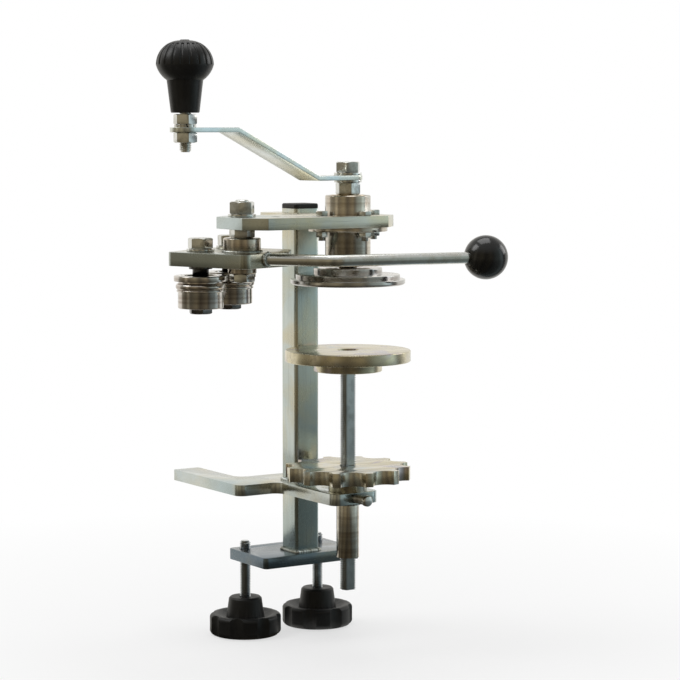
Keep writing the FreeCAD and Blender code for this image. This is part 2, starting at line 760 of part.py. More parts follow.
def make_crank_hardware():
    """Nuts and washers that clamp the crank on the spindle, and the knob's stud with its nuts."""
    bore = "big_thread / 2 + thread_gap"
    lower = hexagon("spindle_nut", "big_nut_flats", "big_nut_height", bore,
                    (0, "axis_y", "spindle_shoulder"), nut_turns["spindle"])
    keep(lower, "spindle_nut")
    head_bottom = "crank_top + big_washer_thick"
    head = hexagon("crank_bolt_head", "big_nut_flats", "big_head_height", None,
                   (0, "axis_y", head_bottom), nut_turns["crank"])
    low = "spindle_shoulder - spindle_socket_depth + socket_spare"
    length = f"{head_bottom} - ({low})"
    shank = turned("crank_bolt_shank", [(0, 0), ("big_thread / 2 - thread_chamfer", 0),
                                        ("big_thread / 2", "thread_chamfer"),
                                        ("big_thread / 2", length), (0, length)], (0, "axis_y", low))
    keep(fused("crank_bolt_whole", [head, shank]), "crank_bolt")
    washer = ring("crank_washer_master", bore, "big_washer_radius", "big_washer_thick",
                  (0, "axis_y", "spindle_nut_top"))
    offsets = [(0, 0, 0), (0, 0, "big_washer_thick + crank_thick")]
    keep(group("crank_washer_set", washer, offsets), "crank_washers")


def crank_end():
    """Plan place of the crank knob's axis."""
    x = "crank_radius * cos(crank_angle * 1 deg)"
    y = "axis_y + crank_radius * sin(crank_angle * 1 deg)"
    return x, y


def make_knob_stud():
    """Threaded stud that carries the knob, with a nut each side of the crank and a spring washer."""
    x, y = crank_end()
    thread, length = "mid_thread / 2", "knob_bottom + knob_bore_depth - knob_lift - stud_bottom"
    cut = "thread_chamfer"
    points = [(0, 0), (f"{thread} - {cut}", 0), (thread, cut), (thread, f"{length} - {cut}"),
              (f"{thread} - {cut}", length), (0, length)]
    keep(turned("knob_stud", points, (x, y, "stud_bottom")), "knob_stud")
    bore = f"{thread} + thread_gap"
    nut = hexagon("stud_nut_master", "mid_nut_flats", "mid_nut_height", bore,
                  (x, y, "crank_outer_top + mid_washer_thick"), nut_turns["stud"])
    offsets = [(0, 0, 0), (0, 0, "-crank_thick - mid_washer_thick - mid_nut_height")]
    keep(group("stud_nut_set", nut, offsets), "knob_stud_nuts")
    washer = ring("knob_stud_washer", bore, "mid_washer_radius", "mid_washer_thick",
                  (x, y, "crank_outer_top"))
    keep(washer, "knob_stud_washer")


def make_crank_knob():
    """Moulded mushroom grip with a fluted dome, which turns on its stud."""
    x, y = crank_end()
    bore, wide, dome = "mid_thread / 2 + running_gap", "knob_widest", "knob_dome"
    crown = f"{wide} + {dome}"
    half = "0.7071"
    points = [(bore, 0), ("knob_foot_radius - 0.6", 0), ("knob_foot_radius", 0.6),
              ("knob_neck_radius", "knob_neck_height"),
              ("knob_radius", wide, "(knob_neck_radius + knob_radius) / 2 + 1.2",
               f"(knob_neck_height + {wide}) / 2 - 0.7"),
              ("knob_cap_radius", crown, f"knob_cap_radius + {dome} * {half}", f"{wide} + {dome} * {half}"),
              ("knob_cap_radius - 0.3", f"{crown} + knob_cap_height"), (0, f"{crown} + knob_cap_height"),
              (0, "knob_bore_depth"), (bore, "knob_bore_depth")]
    body = turned("crank_knob", points, (x, y, "knob_bottom"))
    sketch = circles(body, "flute_section", "XY_Plane",
                     [(f"knob_radius + knob_flute_radius - knob_flute_depth", 0, "knob_flute_radius")])
    sketch.setExpression(".AttachmentOffset.Base.z", bound(wide))
    centre = number("knob_cap_radius")
    sketch.addGeometry(Part.LineSegment(FreeCAD.Vector(centre, -5, 0), FreeCAD.Vector(centre, 5, 0)), True)
    sketch.addConstraint(Sketcher.Constraint("Vertical", 1))
    pin_point(sketch, 1, 1, ("knob_cap_radius", "-knob_foot_radius"))
    flute = body.newObject("PartDesign::Groove", "knob_flute")
    flute.Profile = sketch
    flute.ReferenceAxis = (sketch, ["Axis0"])
    flute.setExpression("Angle", bound("knob_flute_sweep * 1 deg"))
    flute.Reversed = True
    around(body, "knob_flutes_ring", flute, "knob_flutes")
    keep(body, "crank_knob")


# ---------------------------------------------------------------- roller lever

def in_lever(across, out):
    """Plan place of a point given in the lever plate's own directions, from the pivot."""
    x = f"pivot_x + ({across}) * cos(lever_angle * 1 deg) - ({out}) * sin(lever_angle * 1 deg)"
    y = f"pivot_y + ({across}) * sin(lever_angle * 1 deg) + ({out}) * cos(lever_angle * 1 deg)"
    return x, y


def make_lever_plate():
    """Thick plate that swings on the pivot and carries both rollers."""
    body = new_body("lever_plate")
    left = "-first_roller_left - lever_left_margin"
    right = "second_roller_right + lever_right_margin"
    front = "-lever_front"
    back = "second_roller_out + lever_back_margin"
    points = [(left, front), ("lever_front_right", front), (right, "-lever_shoulder"), (right, back),
              ("lever_back_left", back), (left, "first_roller_out + lever_left_back")]
    pad(body, "lever_slab", outline(body, "lever_outline", "XY_Plane", points), "lever_thick")
    round_edges(body, "lever_corners", "lever_corner", lambda edge: upright_at(edge, points))
    bore = "big_thread / 2 + thread_gap"
    spots = [(0, 0, "hub_foot_radius"), ("-first_roller_left", "first_roller_out", bore),
             ("second_roller_right", "second_roller_out", bore)]
    pocket_through(body, "lever_holes", circles(body, "lever_hole_circles", "XY_Plane", spots))
    keep(place(body, ("pivot_x", "pivot_y", "lever_bottom"), "lever_angle"), "lever_plate")


def make_lever_hub():
    """Bush welded into the lever plate, bored for the pivot bolt."""
    bore = "big_thread / 2 + running_gap"
    shoulder = "hub_foot_drop + lever_thick"
    top = f"{shoulder} + hub_height"
    points = [(bore, 0), ("hub_foot_radius - 0.5", 0), ("hub_foot_radius", 0.5),
              ("hub_foot_radius", shoulder), ("hub_radius", shoulder), ("hub_radius", f"{top} - 0.8"),
              ("hub_radius - 0.8", top), (bore, top)]
    keep(turned("lever_hub", points, ("pivot_x", "pivot_y", "lever_bottom - hub_foot_drop")), "lever_hub")


def make_pivot():
    """Pivot bolt: its head holds the hub from below, and two nuts grip the top plate."""
    head_top = "lever_bottom - hub_foot_drop - face_gap"
    length = f"plate_top + big_washer_thick + big_nut_height + thread_proud - ({head_top})"
    bolt_head = hexagon("pivot_head", "big_nut_flats", "pivot_head_height", None,
                        ("pivot_x", "pivot_y", f"{head_top} - pivot_head_height"), nut_turns["pivot_head"])
    shank = turned("pivot_shank", [(0, 0), ("big_thread / 2", 0),
                                   ("big_thread / 2", f"{length} - thread_chamfer"),
                                   ("big_thread / 2 - thread_chamfer", length), (0, length)],
                   ("pivot_x", "pivot_y", head_top))
    keep(fused("pivot_bolt_whole", [bolt_head, shank]), "pivot_bolt")
    bore = "big_thread / 2 + thread_gap"
    washer = ring("pivot_washer", bore, "big_washer_radius", "big_washer_thick",
                  ("pivot_x", "pivot_y", "plate_top"))
    keep(washer, "pivot_washer")
    nut = hexagon("pivot_nut", "big_nut_flats", "big_nut_height", bore,
                  ("pivot_x", "pivot_y", "plate_top + big_washer_thick"), nut_turns["pivot"])
    keep(nut, "pivot_nut")
    jam = hexagon("pivot_jam_nut", "big_nut_flats", "plate_bottom - hub_top - face_gap", bore,
                  ("pivot_x", "pivot_y", "hub_top + face_gap"), nut_turns["jam"])
    keep(jam, "pivot_jam_nut")


def make_handle():
    """Round bar handle, welded to the lever plate, with one bend, and its ball."""
    body = new_body("handle_rod")
    section = circles(body, "handle_section", "YZ_Plane", [(0, 0, "handle_diameter / 2")])
    path = sketch_on(body, "handle_path", "XY_Plane")
    run, reach = number("handle_run"), number("handle_reach")
    turn, bend = math.radians(number("handle_turn")), number("handle_bend")
    trim = bend * math.tan(turn / 2)
    corner = FreeCAD.Vector(run, 0, 0)
    onward = FreeCAD.Vector(math.cos(turn), math.sin(turn), 0)
    arc_start = corner - FreeCAD.Vector(trim, 0, 0)
    arc_end = corner + onward * trim
    centre = arc_start + FreeCAD.Vector(0, bend, 0)
    arc_middle = centre + (corner - centre).normalize() * bend
    tip = corner + onward * (reach - number("ball_socket"))
    path.addGeometry(Part.LineSegment(FreeCAD.Vector(), arc_start))
    path.addGeometry(Part.Arc(arc_start, arc_middle, arc_end))
    path.addGeometry(Part.LineSegment(arc_end, tip))
    for joint in range(2):
        path.addConstraint(Sketcher.Constraint("Coincident", joint, 2, joint + 1, 1))
    pipe = body.newObject("PartDesign::AdditivePipe", "handle_bar")
    pipe.Profile = section
    pipe.Spine = (path, ["Edge1", "Edge2", "Edge3"])
    x, y = in_lever("-handle_foot_left", "-lever_front")
    keep(place(body, (x, y, "handle_z"), "handle_angle"), "handle_rod")

    flat = "sqrt(ball_radius^2 - ball_flat^2)"
    bore = "handle_diameter / 2"
    points = [(0, "-ball_socket"), (bore, "-ball_socket"), (bore, f"-({flat})"), ("ball_flat", f"-({flat})"),
              (0, "ball_radius", "ball_radius", 0)]
    ball = turned("handle_ball", points, (0, 0, 0))
    start = FreeCAD.Vector(number(x), number(y), number("handle_z"))
    heading = FreeCAD.Rotation(FreeCAD.Vector(0, 0, 1), number("handle_angle"))
    end = start + heading.multVec(corner + onward * reach)
    direction = heading.multVec(onward)
    ball.setExpression(".Placement.Base.x", None)
    ball.setExpression(".Placement.Base.y", None)
    ball.setExpression(".Placement.Base.z", None)
    ball.Placement = FreeCAD.Placement(end, FreeCAD.Rotation(FreeCAD.Vector(0, 0, 1), direction))
    keep(ball, "handle_ball")


def make_rollers():
    """Two seaming rollers, each turning on two ball bearings under the lever plate."""
    spots = {"first": in_lever("-first_roller_left", "first_roller_out"),
             "second": in_lever("second_roller_right", "second_roller_out")}
    flange, seat, bead, body_radius = ("roller_flange_radius", "bearing_outer / 2", "roller_bead_radius",
                                       "roller_body_radius")
    tall, width, web = "roller_height", "bearing_width", "roller_web"
    under = f"{tall} - roller_flange_thick"
    for which, (x, y) in spots.items():
        crest = f"{under} - {which}_groove_height"
        deep = f"{which}_groove_depth"
        points = [("bearing_bore / 2 + 4", f"({tall} - {web}) / 2"),
                  (seat, f"({tall} - {web}) / 2"), (seat, 0),
                  (f"{body_radius} - 0.6", 0), (body_radius, 0.6), (body_radius, f"{crest} - 6.6"),
                  ("roller_lip_radius", f"{crest} - 6.4"), ("roller_lip_radius", f"{crest} - 5.2"),
                  (f"{bead} - 1.6", f"{crest} - 4.8"),
                  (f"{bead} - 1.0", f"{crest} + 0.3", bead, f"{crest} - 2.3"),
                  (f"{bead} - {deep}", f"{crest} + 1.0"), (f"{bead} - {deep}", under),
                  (flange, under), (flange, f"{tall} - 0.5"), (f"{flange} - 0.5", tall), (seat, tall),
                  (seat, f"({tall} + {web}) / 2"), ("bearing_bore / 2 + 4", f"({tall} + {web}) / 2")]
        label = f"{which}_roller"
        keep(turned(label, points, (x, y, "roller_bottom")), label)
        bearing = ring(f"{which}_bearing_master", "bearing_bore / 2 + running_gap", seat, width,
                       (x, y, "roller_bottom + roller_recess"))
        keep(group(f"{which}_bearing_set", bearing, [(0, 0, 0), (0, 0, f"{width} + {web}")]),
             f"{which}_roller_bearings")
    return spots


def make_roller_hardware(spots):
    """The rollers' bolts with washers above the plate, shouldered spacers under it, and end nuts."""
    x, y = spots["first"]
    second_x, second_y = spots["second"]
    shift = (f"({second_x}) - ({x})", f"({second_y}) - ({y})", 0)
    thread = "big_thread / 2"
    low = "roller_bottom - roller_nut_drop + 0.5"
    seat = "lever_top + big_washer_thick"
    cap = hexagon("roller_bolt_head", "big_nut_flats", "big_head_height", None, (x, y, seat),
                  nut_turns["roller_bolt"])
    length = f"{seat} - ({low})"
    shank = turned("roller_bolt_shank", [(0, 0), (f"{thread} - thread_chamfer", 0),
                                         (thread, "thread_chamfer"), (thread, length), (0, length)],
                   (x, y, low))
    bolt = fused("roller_bolt_master", [cap, shank])
    keep(group("roller_bolt_set", bolt, [(0, 0, 0), shift]), "roller_bolts")
    bore = f"{thread} + thread_gap"
    washer = ring("roller_washer_master", bore, "big_washer_radius", "big_washer_thick",
                  (x, y, "lever_top"))
    keep(group("roller_washer_set", washer, [(0, 0, 0), shift]), "roller_washers")
    bearing_top = "roller_top - roller_recess + face_gap"
    tall = f"lever_bottom - ({bearing_top})"
    sleeve, collar = "roller_sleeve_radius", "roller_sleeve_radius + roller_spacer_collar"
    points = [(bore, 0), (sleeve, 0), (sleeve, f"{tall} - roller_spacer_collar - 0.2"),
              (collar, f"{tall} - roller_spacer_collar"), (collar, tall), (bore, tall)]
    spacer = turned("roller_spacer_master", points, (x, y, bearing_top))
    keep(group("roller_spacer_set", spacer, [(0, 0, 0), shift]), "roller_spacers")
    height = "roller_recess + roller_nut_drop - face_gap"
    nut = hexagon("roller_nut_master", "roller_nut_flats", height, bore,
                  (x, y, "roller_bottom - roller_nut_drop"), nut_turns["roller_nut"])
    keep(group("roller_nut_set", nut, [(0, 0, 0), shift]), "roller_nuts")


# ---------------------------------------------------------------- lift

def make_lift_rod():
    """Threaded rod with a milled flat, and a turned spigot for the support's bearing."""
    body = new_body("lift_rod")
    thread = "rod_diameter / 2"
    shoulder = "bearing_bottom - rod_bottom"
    bar = circles(body, "rod_section", "XY_Plane", [(0, 0, thread)])
    pad(body, "rod_bar", bar, shoulder)
    wide = "rod_diameter"
    face = f"{thread} - rod_flat_depth"
    strip = outline(body, "rod_flat_outline", "XY_Plane",
                    [(f"-{wide}", f"-({face})"), (f"-{wide}", f"-{wide}"),
                     (wide, f"-{wide}"), (wide, f"-({face})")])
    pocket_through(body, "rod_flat", strip)
    spigot = circles(body, "spigot_section", "XY_Plane", [(0, 0, "bearing_bore / 2")])
    spigot.setExpression(".AttachmentOffset.Base.z", bound(shoulder))
    pad(body, "rod_spigot", spigot, "bearing_width")
    keep(place(body, (0, "axis_y", "rod_bottom")), "lift_rod")


def make_guide_screw():
    """Screw in the arm's head whose tip runs on the rod's flat, so that the rod can't turn."""
    tip = "axis_y - rod_diameter / 2 + rod_flat_depth - running_gap"
    length = f"{tip} - axis_y + head_overhang + guide_screw_proud"
    radius = "guide_screw_diameter / 2"
    points = [(0, 0), (f"{radius} - thread_chamfer", 0), (radius, "thread_chamfer"),
              (radius, f"{length} - guide_head_length"),
              ("guide_head_radius", f"{length} - guide_head_length"),
              ("guide_head_radius", f"{length} - 0.5"),
              ("guide_head_radius - 0.5", length), (0, length)]
    screw = place(turned("guide_screw", points, (0, 0, 0)), (0, tip, "bracket_thick / 2"))
    screw.Placement = FreeCAD.Placement(screw.Placement.Base, FreeCAD.Rotation(FreeCAD.Vector(1, 0, 0), 90))
    keep(screw, "guide_screw")


def make_star_wheel():
    """Notched hand wheel with a collar; it is the nut that lifts the rod."""
    body = new_body("star_wheel")
    rim = circles(body, "wheel_rim", "XY_Plane", [(0, 0, "wheel_radius")])
    rim.setExpression(".AttachmentOffset.Base.z", bound("wheel_collar_height"))
    pad(body, "wheel_disc", rim, "wheel_thick")
    collar = circles(body, "wheel_collar_circle", "XY_Plane", [(0, 0, "wheel_collar_radius")])
    pad(body, "wheel_collar", collar, "wheel_collar_height + wheel_thick / 2")
    centre = "wheel_radius - wheel_notch_depth + wheel_notch_radius"
    notch_sketch = circles(body, "notch_circle", "XY_Plane", [(centre, 0, "wheel_notch_radius")])
    notch = pocket_through(body, "wheel_notch", notch_sketch)
    around(body, "wheel_notches_ring", notch, "wheel_notches")
    eye = circles(body, "wheel_eye", "XY_Plane", [(0, 0, "rod_diameter / 2 + thread_gap")])
    pocket_through(body, "wheel_thread", eye)
    keep(place(body, (0, "axis_y", "wheel_bottom"), "wheel_phase"), "star_wheel")


def make_support():
    """Round support for the can, on a ball bearing, so that the can turns with the chuck."""
    seat = "bearing_outer / 2 + running_gap"
    hub, total = "support_hub_height", "support_hub_height + support_thick"
    c = "support_chamfer"
    points = [(seat, 0), (f"support_hub_radius - {c}", 0), ("support_hub_radius", c),
              ("support_hub_radius", hub), (f"support_radius - {c}", hub), ("support_radius", f"{hub} + {c}"),
              ("support_radius", f"{total} - {c}"), (f"support_radius - {c}", total),
              ("support_eye_radius", total), ("support_eye_radius", hub), (seat, hub)]
    keep(turned("support_disc", points, (0, "axis_y", "support_hub_bottom")), "support_disc")
    bearing = ring("support_bearing", "bearing_bore / 2", "bearing_outer / 2", "bearing_width",
                   (0, "axis_y", "bearing_bottom"))
    keep(bearing, "support_bearing")


# ---------------------------------------------------------------- clamp screws

def make_clamp(side, direction):
    """One clamp screw with its moulded lobed grip."""
    x = f"{direction} * screw_spread"
    thread = "screw_diameter / 2"
    low = "grip_bottom + grip_floor"
    length = f"screw_top - ({low})"
    points = [(0, 0), (thread, 0), (thread, f"{length} - thread_chamfer"),
              (f"{thread} - thread_chamfer", length), (0, length)]
    keep(turned(f"{side}_clamp_screw", points, (x, "screw_setback", low)), f"{side}_clamp_screw")

    rim, hub, tall, rise = "grip_radius", "grip_hub_radius", "grip_height", "grip_rim_height"
    bore = f"{thread} + running_gap"
    profile = [(0, 0), (f"{rim} - 4", 0), (rim, 5, f"{rim} - 1.2", 1.3), (rim, f"{rise} - 4"),
               (f"{rim} - 3.5", rise, f"{rim} - 1", f"{rise} - 1"), (f"{rim} - 6", rise),
               (f"{hub} + 2.5", f"{rise} - 4"), (hub, f"{tall} - 1.5"), (f"{hub} - 1.5", tall), (bore, tall),
               (bore, "grip_floor - face_gap"), (0, "grip_floor - face_gap")]
    body = turned(f"{side}_clamp_grip", profile, (x, "screw_setback", "grip_bottom"))
    centre = "grip_radius - grip_notch_depth + grip_notch_radius"
    sketch = circles(body, f"{side}_grip_notch_circle", "XY_Plane", [(centre, 0, "grip_notch_radius")])
    notch = pocket_through(body, f"{side}_grip_notch", sketch)
    around(body, f"{side}_grip_notches", notch, "grip_notches")
    keep(body, f"{side}_clamp_grip")


make_column()
make_column_cap()
make_base_plate()
make_table_bracket()
make_guide_sleeve()
make_top_plate()
make_housing()
make_bushes()
make_flange_bolts()
make_spindle()
make_chuck()
make_chuck_bolt()
make_crank_arm()
make_crank_hardware()
make_knob_stud()
make_crank_knob()
make_lever_plate()
make_lever_hub()
make_pivot()
make_handle()
make_roller_hardware(make_rollers())
make_lift_rod()
make_guide_screw()
make_star_wheel()
make_support()
make_clamp("left", -1)
make_clamp("right", 1)
doc.recompute()

for item in doc.Objects:
    broken = {"Invalid", "Error"} & set(item.State)
    if broken:
        raise RuntimeError(f"{item.Name} {item.Label}: {item.State}")
for piece in pieces:
    shape = piece.Shape
    if shape.isNull() or not shape.isValid():
        raise RuntimeError(f"{piece.Label}: bad shape")
for piece in pieces:
    piece.Shape.exportStep(f"parts/{piece.Label}.step")
print(len(pieces), "pieces")
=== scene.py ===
import math
import random

import bpy
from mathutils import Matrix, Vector
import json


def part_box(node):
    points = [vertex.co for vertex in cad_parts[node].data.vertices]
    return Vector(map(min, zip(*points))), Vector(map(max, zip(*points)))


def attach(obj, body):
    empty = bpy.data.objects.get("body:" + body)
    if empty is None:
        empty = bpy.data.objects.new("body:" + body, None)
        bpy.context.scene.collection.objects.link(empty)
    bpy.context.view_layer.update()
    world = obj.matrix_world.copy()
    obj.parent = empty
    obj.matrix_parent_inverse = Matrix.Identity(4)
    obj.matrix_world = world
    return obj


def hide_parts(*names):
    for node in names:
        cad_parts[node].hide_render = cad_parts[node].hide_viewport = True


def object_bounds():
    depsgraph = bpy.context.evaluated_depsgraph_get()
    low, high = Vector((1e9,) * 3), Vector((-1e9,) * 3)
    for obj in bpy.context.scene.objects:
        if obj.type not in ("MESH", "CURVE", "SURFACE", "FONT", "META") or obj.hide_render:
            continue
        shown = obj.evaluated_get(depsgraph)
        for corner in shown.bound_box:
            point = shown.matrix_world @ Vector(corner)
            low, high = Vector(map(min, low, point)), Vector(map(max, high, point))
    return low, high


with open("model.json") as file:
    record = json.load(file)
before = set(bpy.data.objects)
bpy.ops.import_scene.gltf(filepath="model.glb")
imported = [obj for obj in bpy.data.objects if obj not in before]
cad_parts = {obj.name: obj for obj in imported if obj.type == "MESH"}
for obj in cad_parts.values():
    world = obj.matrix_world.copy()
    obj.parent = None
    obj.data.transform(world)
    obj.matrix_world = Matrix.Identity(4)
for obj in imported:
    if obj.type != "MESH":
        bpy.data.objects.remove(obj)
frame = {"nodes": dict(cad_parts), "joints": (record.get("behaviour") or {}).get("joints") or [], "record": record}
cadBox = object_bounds()
mm = 0.001
joints = {joint["name"]: joint for joint in frame["joints"]}
print("frame loaded")


# ---- small tools

def deselectAll():
    if bpy.context.mode != "OBJECT":
        bpy.ops.object.mode_set(mode="OBJECT")
    bpy.ops.object.select_all(action="DESELECT")


def workOn(piece):
    deselectAll()
    piece.select_set(True)
    bpy.context.view_layer.objects.active = piece


def jointSpot(name):
    spot = Vector(joints[name]["pos_m"])
    return Vector((spot.x, spot.y, 0))


def middleOf(node):
    low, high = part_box(node)
    return (low + high) / 2


def inPlan(spot):
    return Vector((spot.x, spot.y, 0))


def applyModifier(piece, kind, **settings):
    modifier = piece.modifiers.new(kind.title(), kind)
    for name, value in settings.items():
        setattr(modifier, name, value)
    workOn(piece)
    bpy.ops.object.modifier_apply(modifier=modifier.name)


def softenEdges(piece, width, angle=35, segments=2):
    if width:
        applyModifier(piece, "BEVEL", width=width * mm, segments=segments, limit_method="ANGLE",
                      angle_limit=math.radians(angle), use_clamp_overlap=True, harden_normals=False)
    workOn(piece)
    bpy.ops.object.shade_smooth_by_angle(angle=math.radians(38))


def tidyMesh(piece, merge=0.001):
    workOn(piece)
    bpy.ops.object.mode_set(mode="EDIT")
    bpy.ops.mesh.select_all(action="SELECT")
    bpy.ops.mesh.remove_doubles(threshold=merge * mm)
    bpy.ops.mesh.normals_make_consistent(inside=False)
    bpy.ops.object.mode_set(mode="OBJECT")


def settle(piece, body, slot, material, *nodes):
    # the piece rides on its body, takes its finish and stands for the plain solids it replaces
    piece.data.materials.clear()
    piece.data.materials.append(material)
    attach(piece, body)
    if nodes:
        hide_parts(*nodes)
    return piece


def turnPiece(name, centre, profile, steps=128, bevel=0.3, hollow=False):
    # a ring is drawn at the first (radius, height) and extruded through the others, as on a lathe
    deselectAll()
    radius, height = profile[0]
    bpy.ops.mesh.primitive_circle_add(vertices=steps, radius=radius * mm,
                                      location=(centre.x, centre.y, height * mm))
    piece = bpy.context.object
    piece.name = name
    bpy.ops.object.transform_apply(location=True, rotation=True, scale=True)
    bpy.ops.object.mode_set(mode="EDIT")
    bpy.ops.mesh.select_all(action="SELECT")
    stretch = profile[1:] + (profile[:1] if hollow else [])
    for nextRadius, nextHeight in stretch:
        bpy.ops.mesh.extrude_region_move(
            TRANSFORM_OT_translate={"value": (0, 0, (nextHeight - height) * mm)})
        if abs(nextRadius - radius) > 1e-6:
            scale = nextRadius / radius
            bpy.ops.transform.resize(value=(scale, scale, 1),
                                     center_override=(centre.x, centre.y, nextHeight * mm))
        radius, height = nextRadius, nextHeight
    bpy.ops.mesh.select_all(action="SELECT")
    bpy.ops.mesh.remove_doubles(threshold=0.002 * mm)
    if not hollow:
        bpy.ops.mesh.select_all(action="SELECT")
        bpy.ops.mesh.fill_holes(sides=0)
    bpy.ops.mesh.select_all(action="SELECT")
    bpy.ops.mesh.normals_make_consistent(inside=False)
    bpy.ops.object.mode_set(mode="OBJECT")
    softenEdges(piece, bevel)
    return piece


def arcPoints(centreRadius, centreHeight, radius, fromAngle, toAngle, count):
    points = []
    for index in range(count + 1):
        angle = math.radians(fromAngle + (toAngle - fromAngle) * index / count)
        points.append((centreRadius + radius * math.cos(angle), centreHeight + radius * math.sin(angle)))
    return points


def copyOfNode(node, name, bevel=0.4, angle=35):
    # a merged copy of the solid, with its sharp edges broken as the real cut plate's are
    source = frame["nodes"][node]
    deselectAll()
    piece = source.copy()
    piece.data = source.data.copy()
    bpy.context.scene.collection.objects.link(piece)
    piece.parent = None
    for key in list(piece.keys()):
        del piece[key]
    piece.name = name
    workOn(piece)
    bpy.ops.mesh.customdata_custom_splitnormals_clear()
    bpy.ops.object.mode_set(mode="EDIT")
    bpy.ops.mesh.select_all(action="SELECT")
    bpy.ops.mesh.remove_doubles(threshold=0.002 * mm)
    bpy.ops.mesh.dissolve_limited(angle_limit=math.radians(0.4))
    bpy.ops.object.mode_set(mode="OBJECT")
    softenEdges(piece, bevel, angle)
    return piece


def cutAway(piece, point, normal):
    # everything on the normal's side of a plane goes, and the cut is closed
    workOn(piece)
    bpy.ops.object.mode_set(mode="EDIT")
    bpy.ops.mesh.select_all(action="SELECT")
    bpy.ops.mesh.bisect(plane_co=point, plane_no=normal, use_fill=True, clear_outer=True)
    bpy.ops.object.mode_set(mode="OBJECT")


def screwThread(name, centre, thread, low, high):
    # the tooth's outline is drawn from one point, then swept up a helix and cut square at both ends
    radius, depth, pitch, steps = thread["radius"], thread["depth"], thread["pitch"], thread["steps"]
    start = low - 1.5 * pitch
    tooth = [(0, 0.12), (depth, 0.45), (depth, 0.60), (0, 0.95), (0, 1.0)]
    deselectAll()
    bpy.ops.mesh.primitive_circle_add(vertices=3, radius=0.1 * mm)
    piece = bpy.context.object
    piece.name = name
    bpy.ops.object.mode_set(mode="EDIT")
    bpy.ops.mesh.select_all(action="SELECT")
    bpy.ops.mesh.merge(type="CENTER")
    bpy.ops.transform.translate(value=((radius - depth) * mm, 0, 0))
    lastOut, lastUp = 0, 0
    for out, share in tooth:
        bpy.ops.mesh.extrude_region_move(TRANSFORM_OT_translate={
            "value": ((out - lastOut) * mm, 0, (share - lastUp) * pitch * mm)})
        lastOut, lastUp = out, share
    bpy.ops.object.mode_set(mode="OBJECT")
    applyModifier(piece, "SCREW", angle=math.tau, screw_offset=pitch * mm, steps=steps, render_steps=steps,
                  iterations=int((high - low) / pitch) + 4, use_merge_vertices=True, merge_threshold=1e-6, axis="Z")
    piece.location = (centre.x, centre.y, start * mm)
    workOn(piece)
    bpy.ops.object.transform_apply(location=True, rotation=True, scale=True)
    tidyMesh(piece)
    cutAway(piece, (centre.x, centre.y, low * mm), (0, 0, -1))
    cutAway(piece, (centre.x, centre.y, high * mm), (0, 0, 1))
    return piece


def finishThread(piece):
    tidyMesh(piece)
    workOn(piece)
    bpy.ops.object.shade_smooth_by_angle(angle=math.radians(28))
    return piece


def joinInto(piece, *others):
    workOn(piece)
    for other in others:
        other.select_set(True)
    bpy.ops.object.join()
    return piece


def weldBead(name, path, radius, seed, closed=False):
    # a rippled run of weld metal along the points of a path, in mm
    rng = random.Random(seed)
    curve = bpy.data.curves.new(name, "CURVE")
    curve.dimensions = "3D"
    curve.bevel_depth = radius * mm
    curve.bevel_resolution = 3
    curve.use_fill_caps = True
    points = []
    ends = path[1:] + path[:1] if closed else path[1:]
    for start, end in zip(path, ends):
        start, end = Vector(start), Vector(end)
        count = max(2, int((end - start).length / 0.7))
        points += [start.lerp(end, index / count) for index in range(count)]
    if not closed:
        points.append(Vector(path[-1]))
    spline = curve.splines.new("POLY")
    spline.points.add(len(points) - 1)
    spline.use_cyclic_u = closed
    for index, point in enumerate(points):
        jitter = Vector([rng.uniform(-1, 1) for _ in range(3)]) * radius * 0.09
        spline.points[index].co = ((point + jitter) * mm).to_4d()
        spline.points[index].radius = 0.92 + 0.16 * math.sin(index * 1.7) + rng.uniform(-0.1, 0.1)
    piece = bpy.data.objects.new(name, curve)
    bpy.context.scene.collection.objects.link(piece)
    workOn(piece)
    bpy.ops.object.convert(target="MESH")
    piece = bpy.context.object
    tidyMesh(piece)
    workOn(piece)
    bpy.ops.object.shade_smooth()
    return piece


def moveVertices(piece, rule):
    for vertex in piece.data.vertices:
        vertex.co = rule(vertex.co.copy())
    piece.data.update()


# ---- shader maths

class Wire:
    # a socket whose arithmetic adds Math nodes
    def __init__(self, sheet, socket):
        self.sheet = sheet
        self.socket = socket

    def join(self, operation, other, swapped=False):
        pair = (other, self) if swapped else (self, other)
        return self.sheet.add("ShaderNodeMath", {"operation": operation}, {0: pair[0], 1: pair[1]})

    def __add__(self, other):
        return self.join("ADD", other)

    def __radd__(self, other):
        return self.join("ADD", other, True)

    def __sub__(self, other):
        return self.join("SUBTRACT", other)

    def __rsub__(self, other):
        return self.join("SUBTRACT", other, True)

    def __mul__(self, other):
        return self.join("MULTIPLY", other)

    def __rmul__(self, other):
        return self.join("MULTIPLY", other, True)

    def __truediv__(self, other):
        return self.join("DIVIDE", other)

    def __pow__(self, other):
        return self.join("POWER", other)


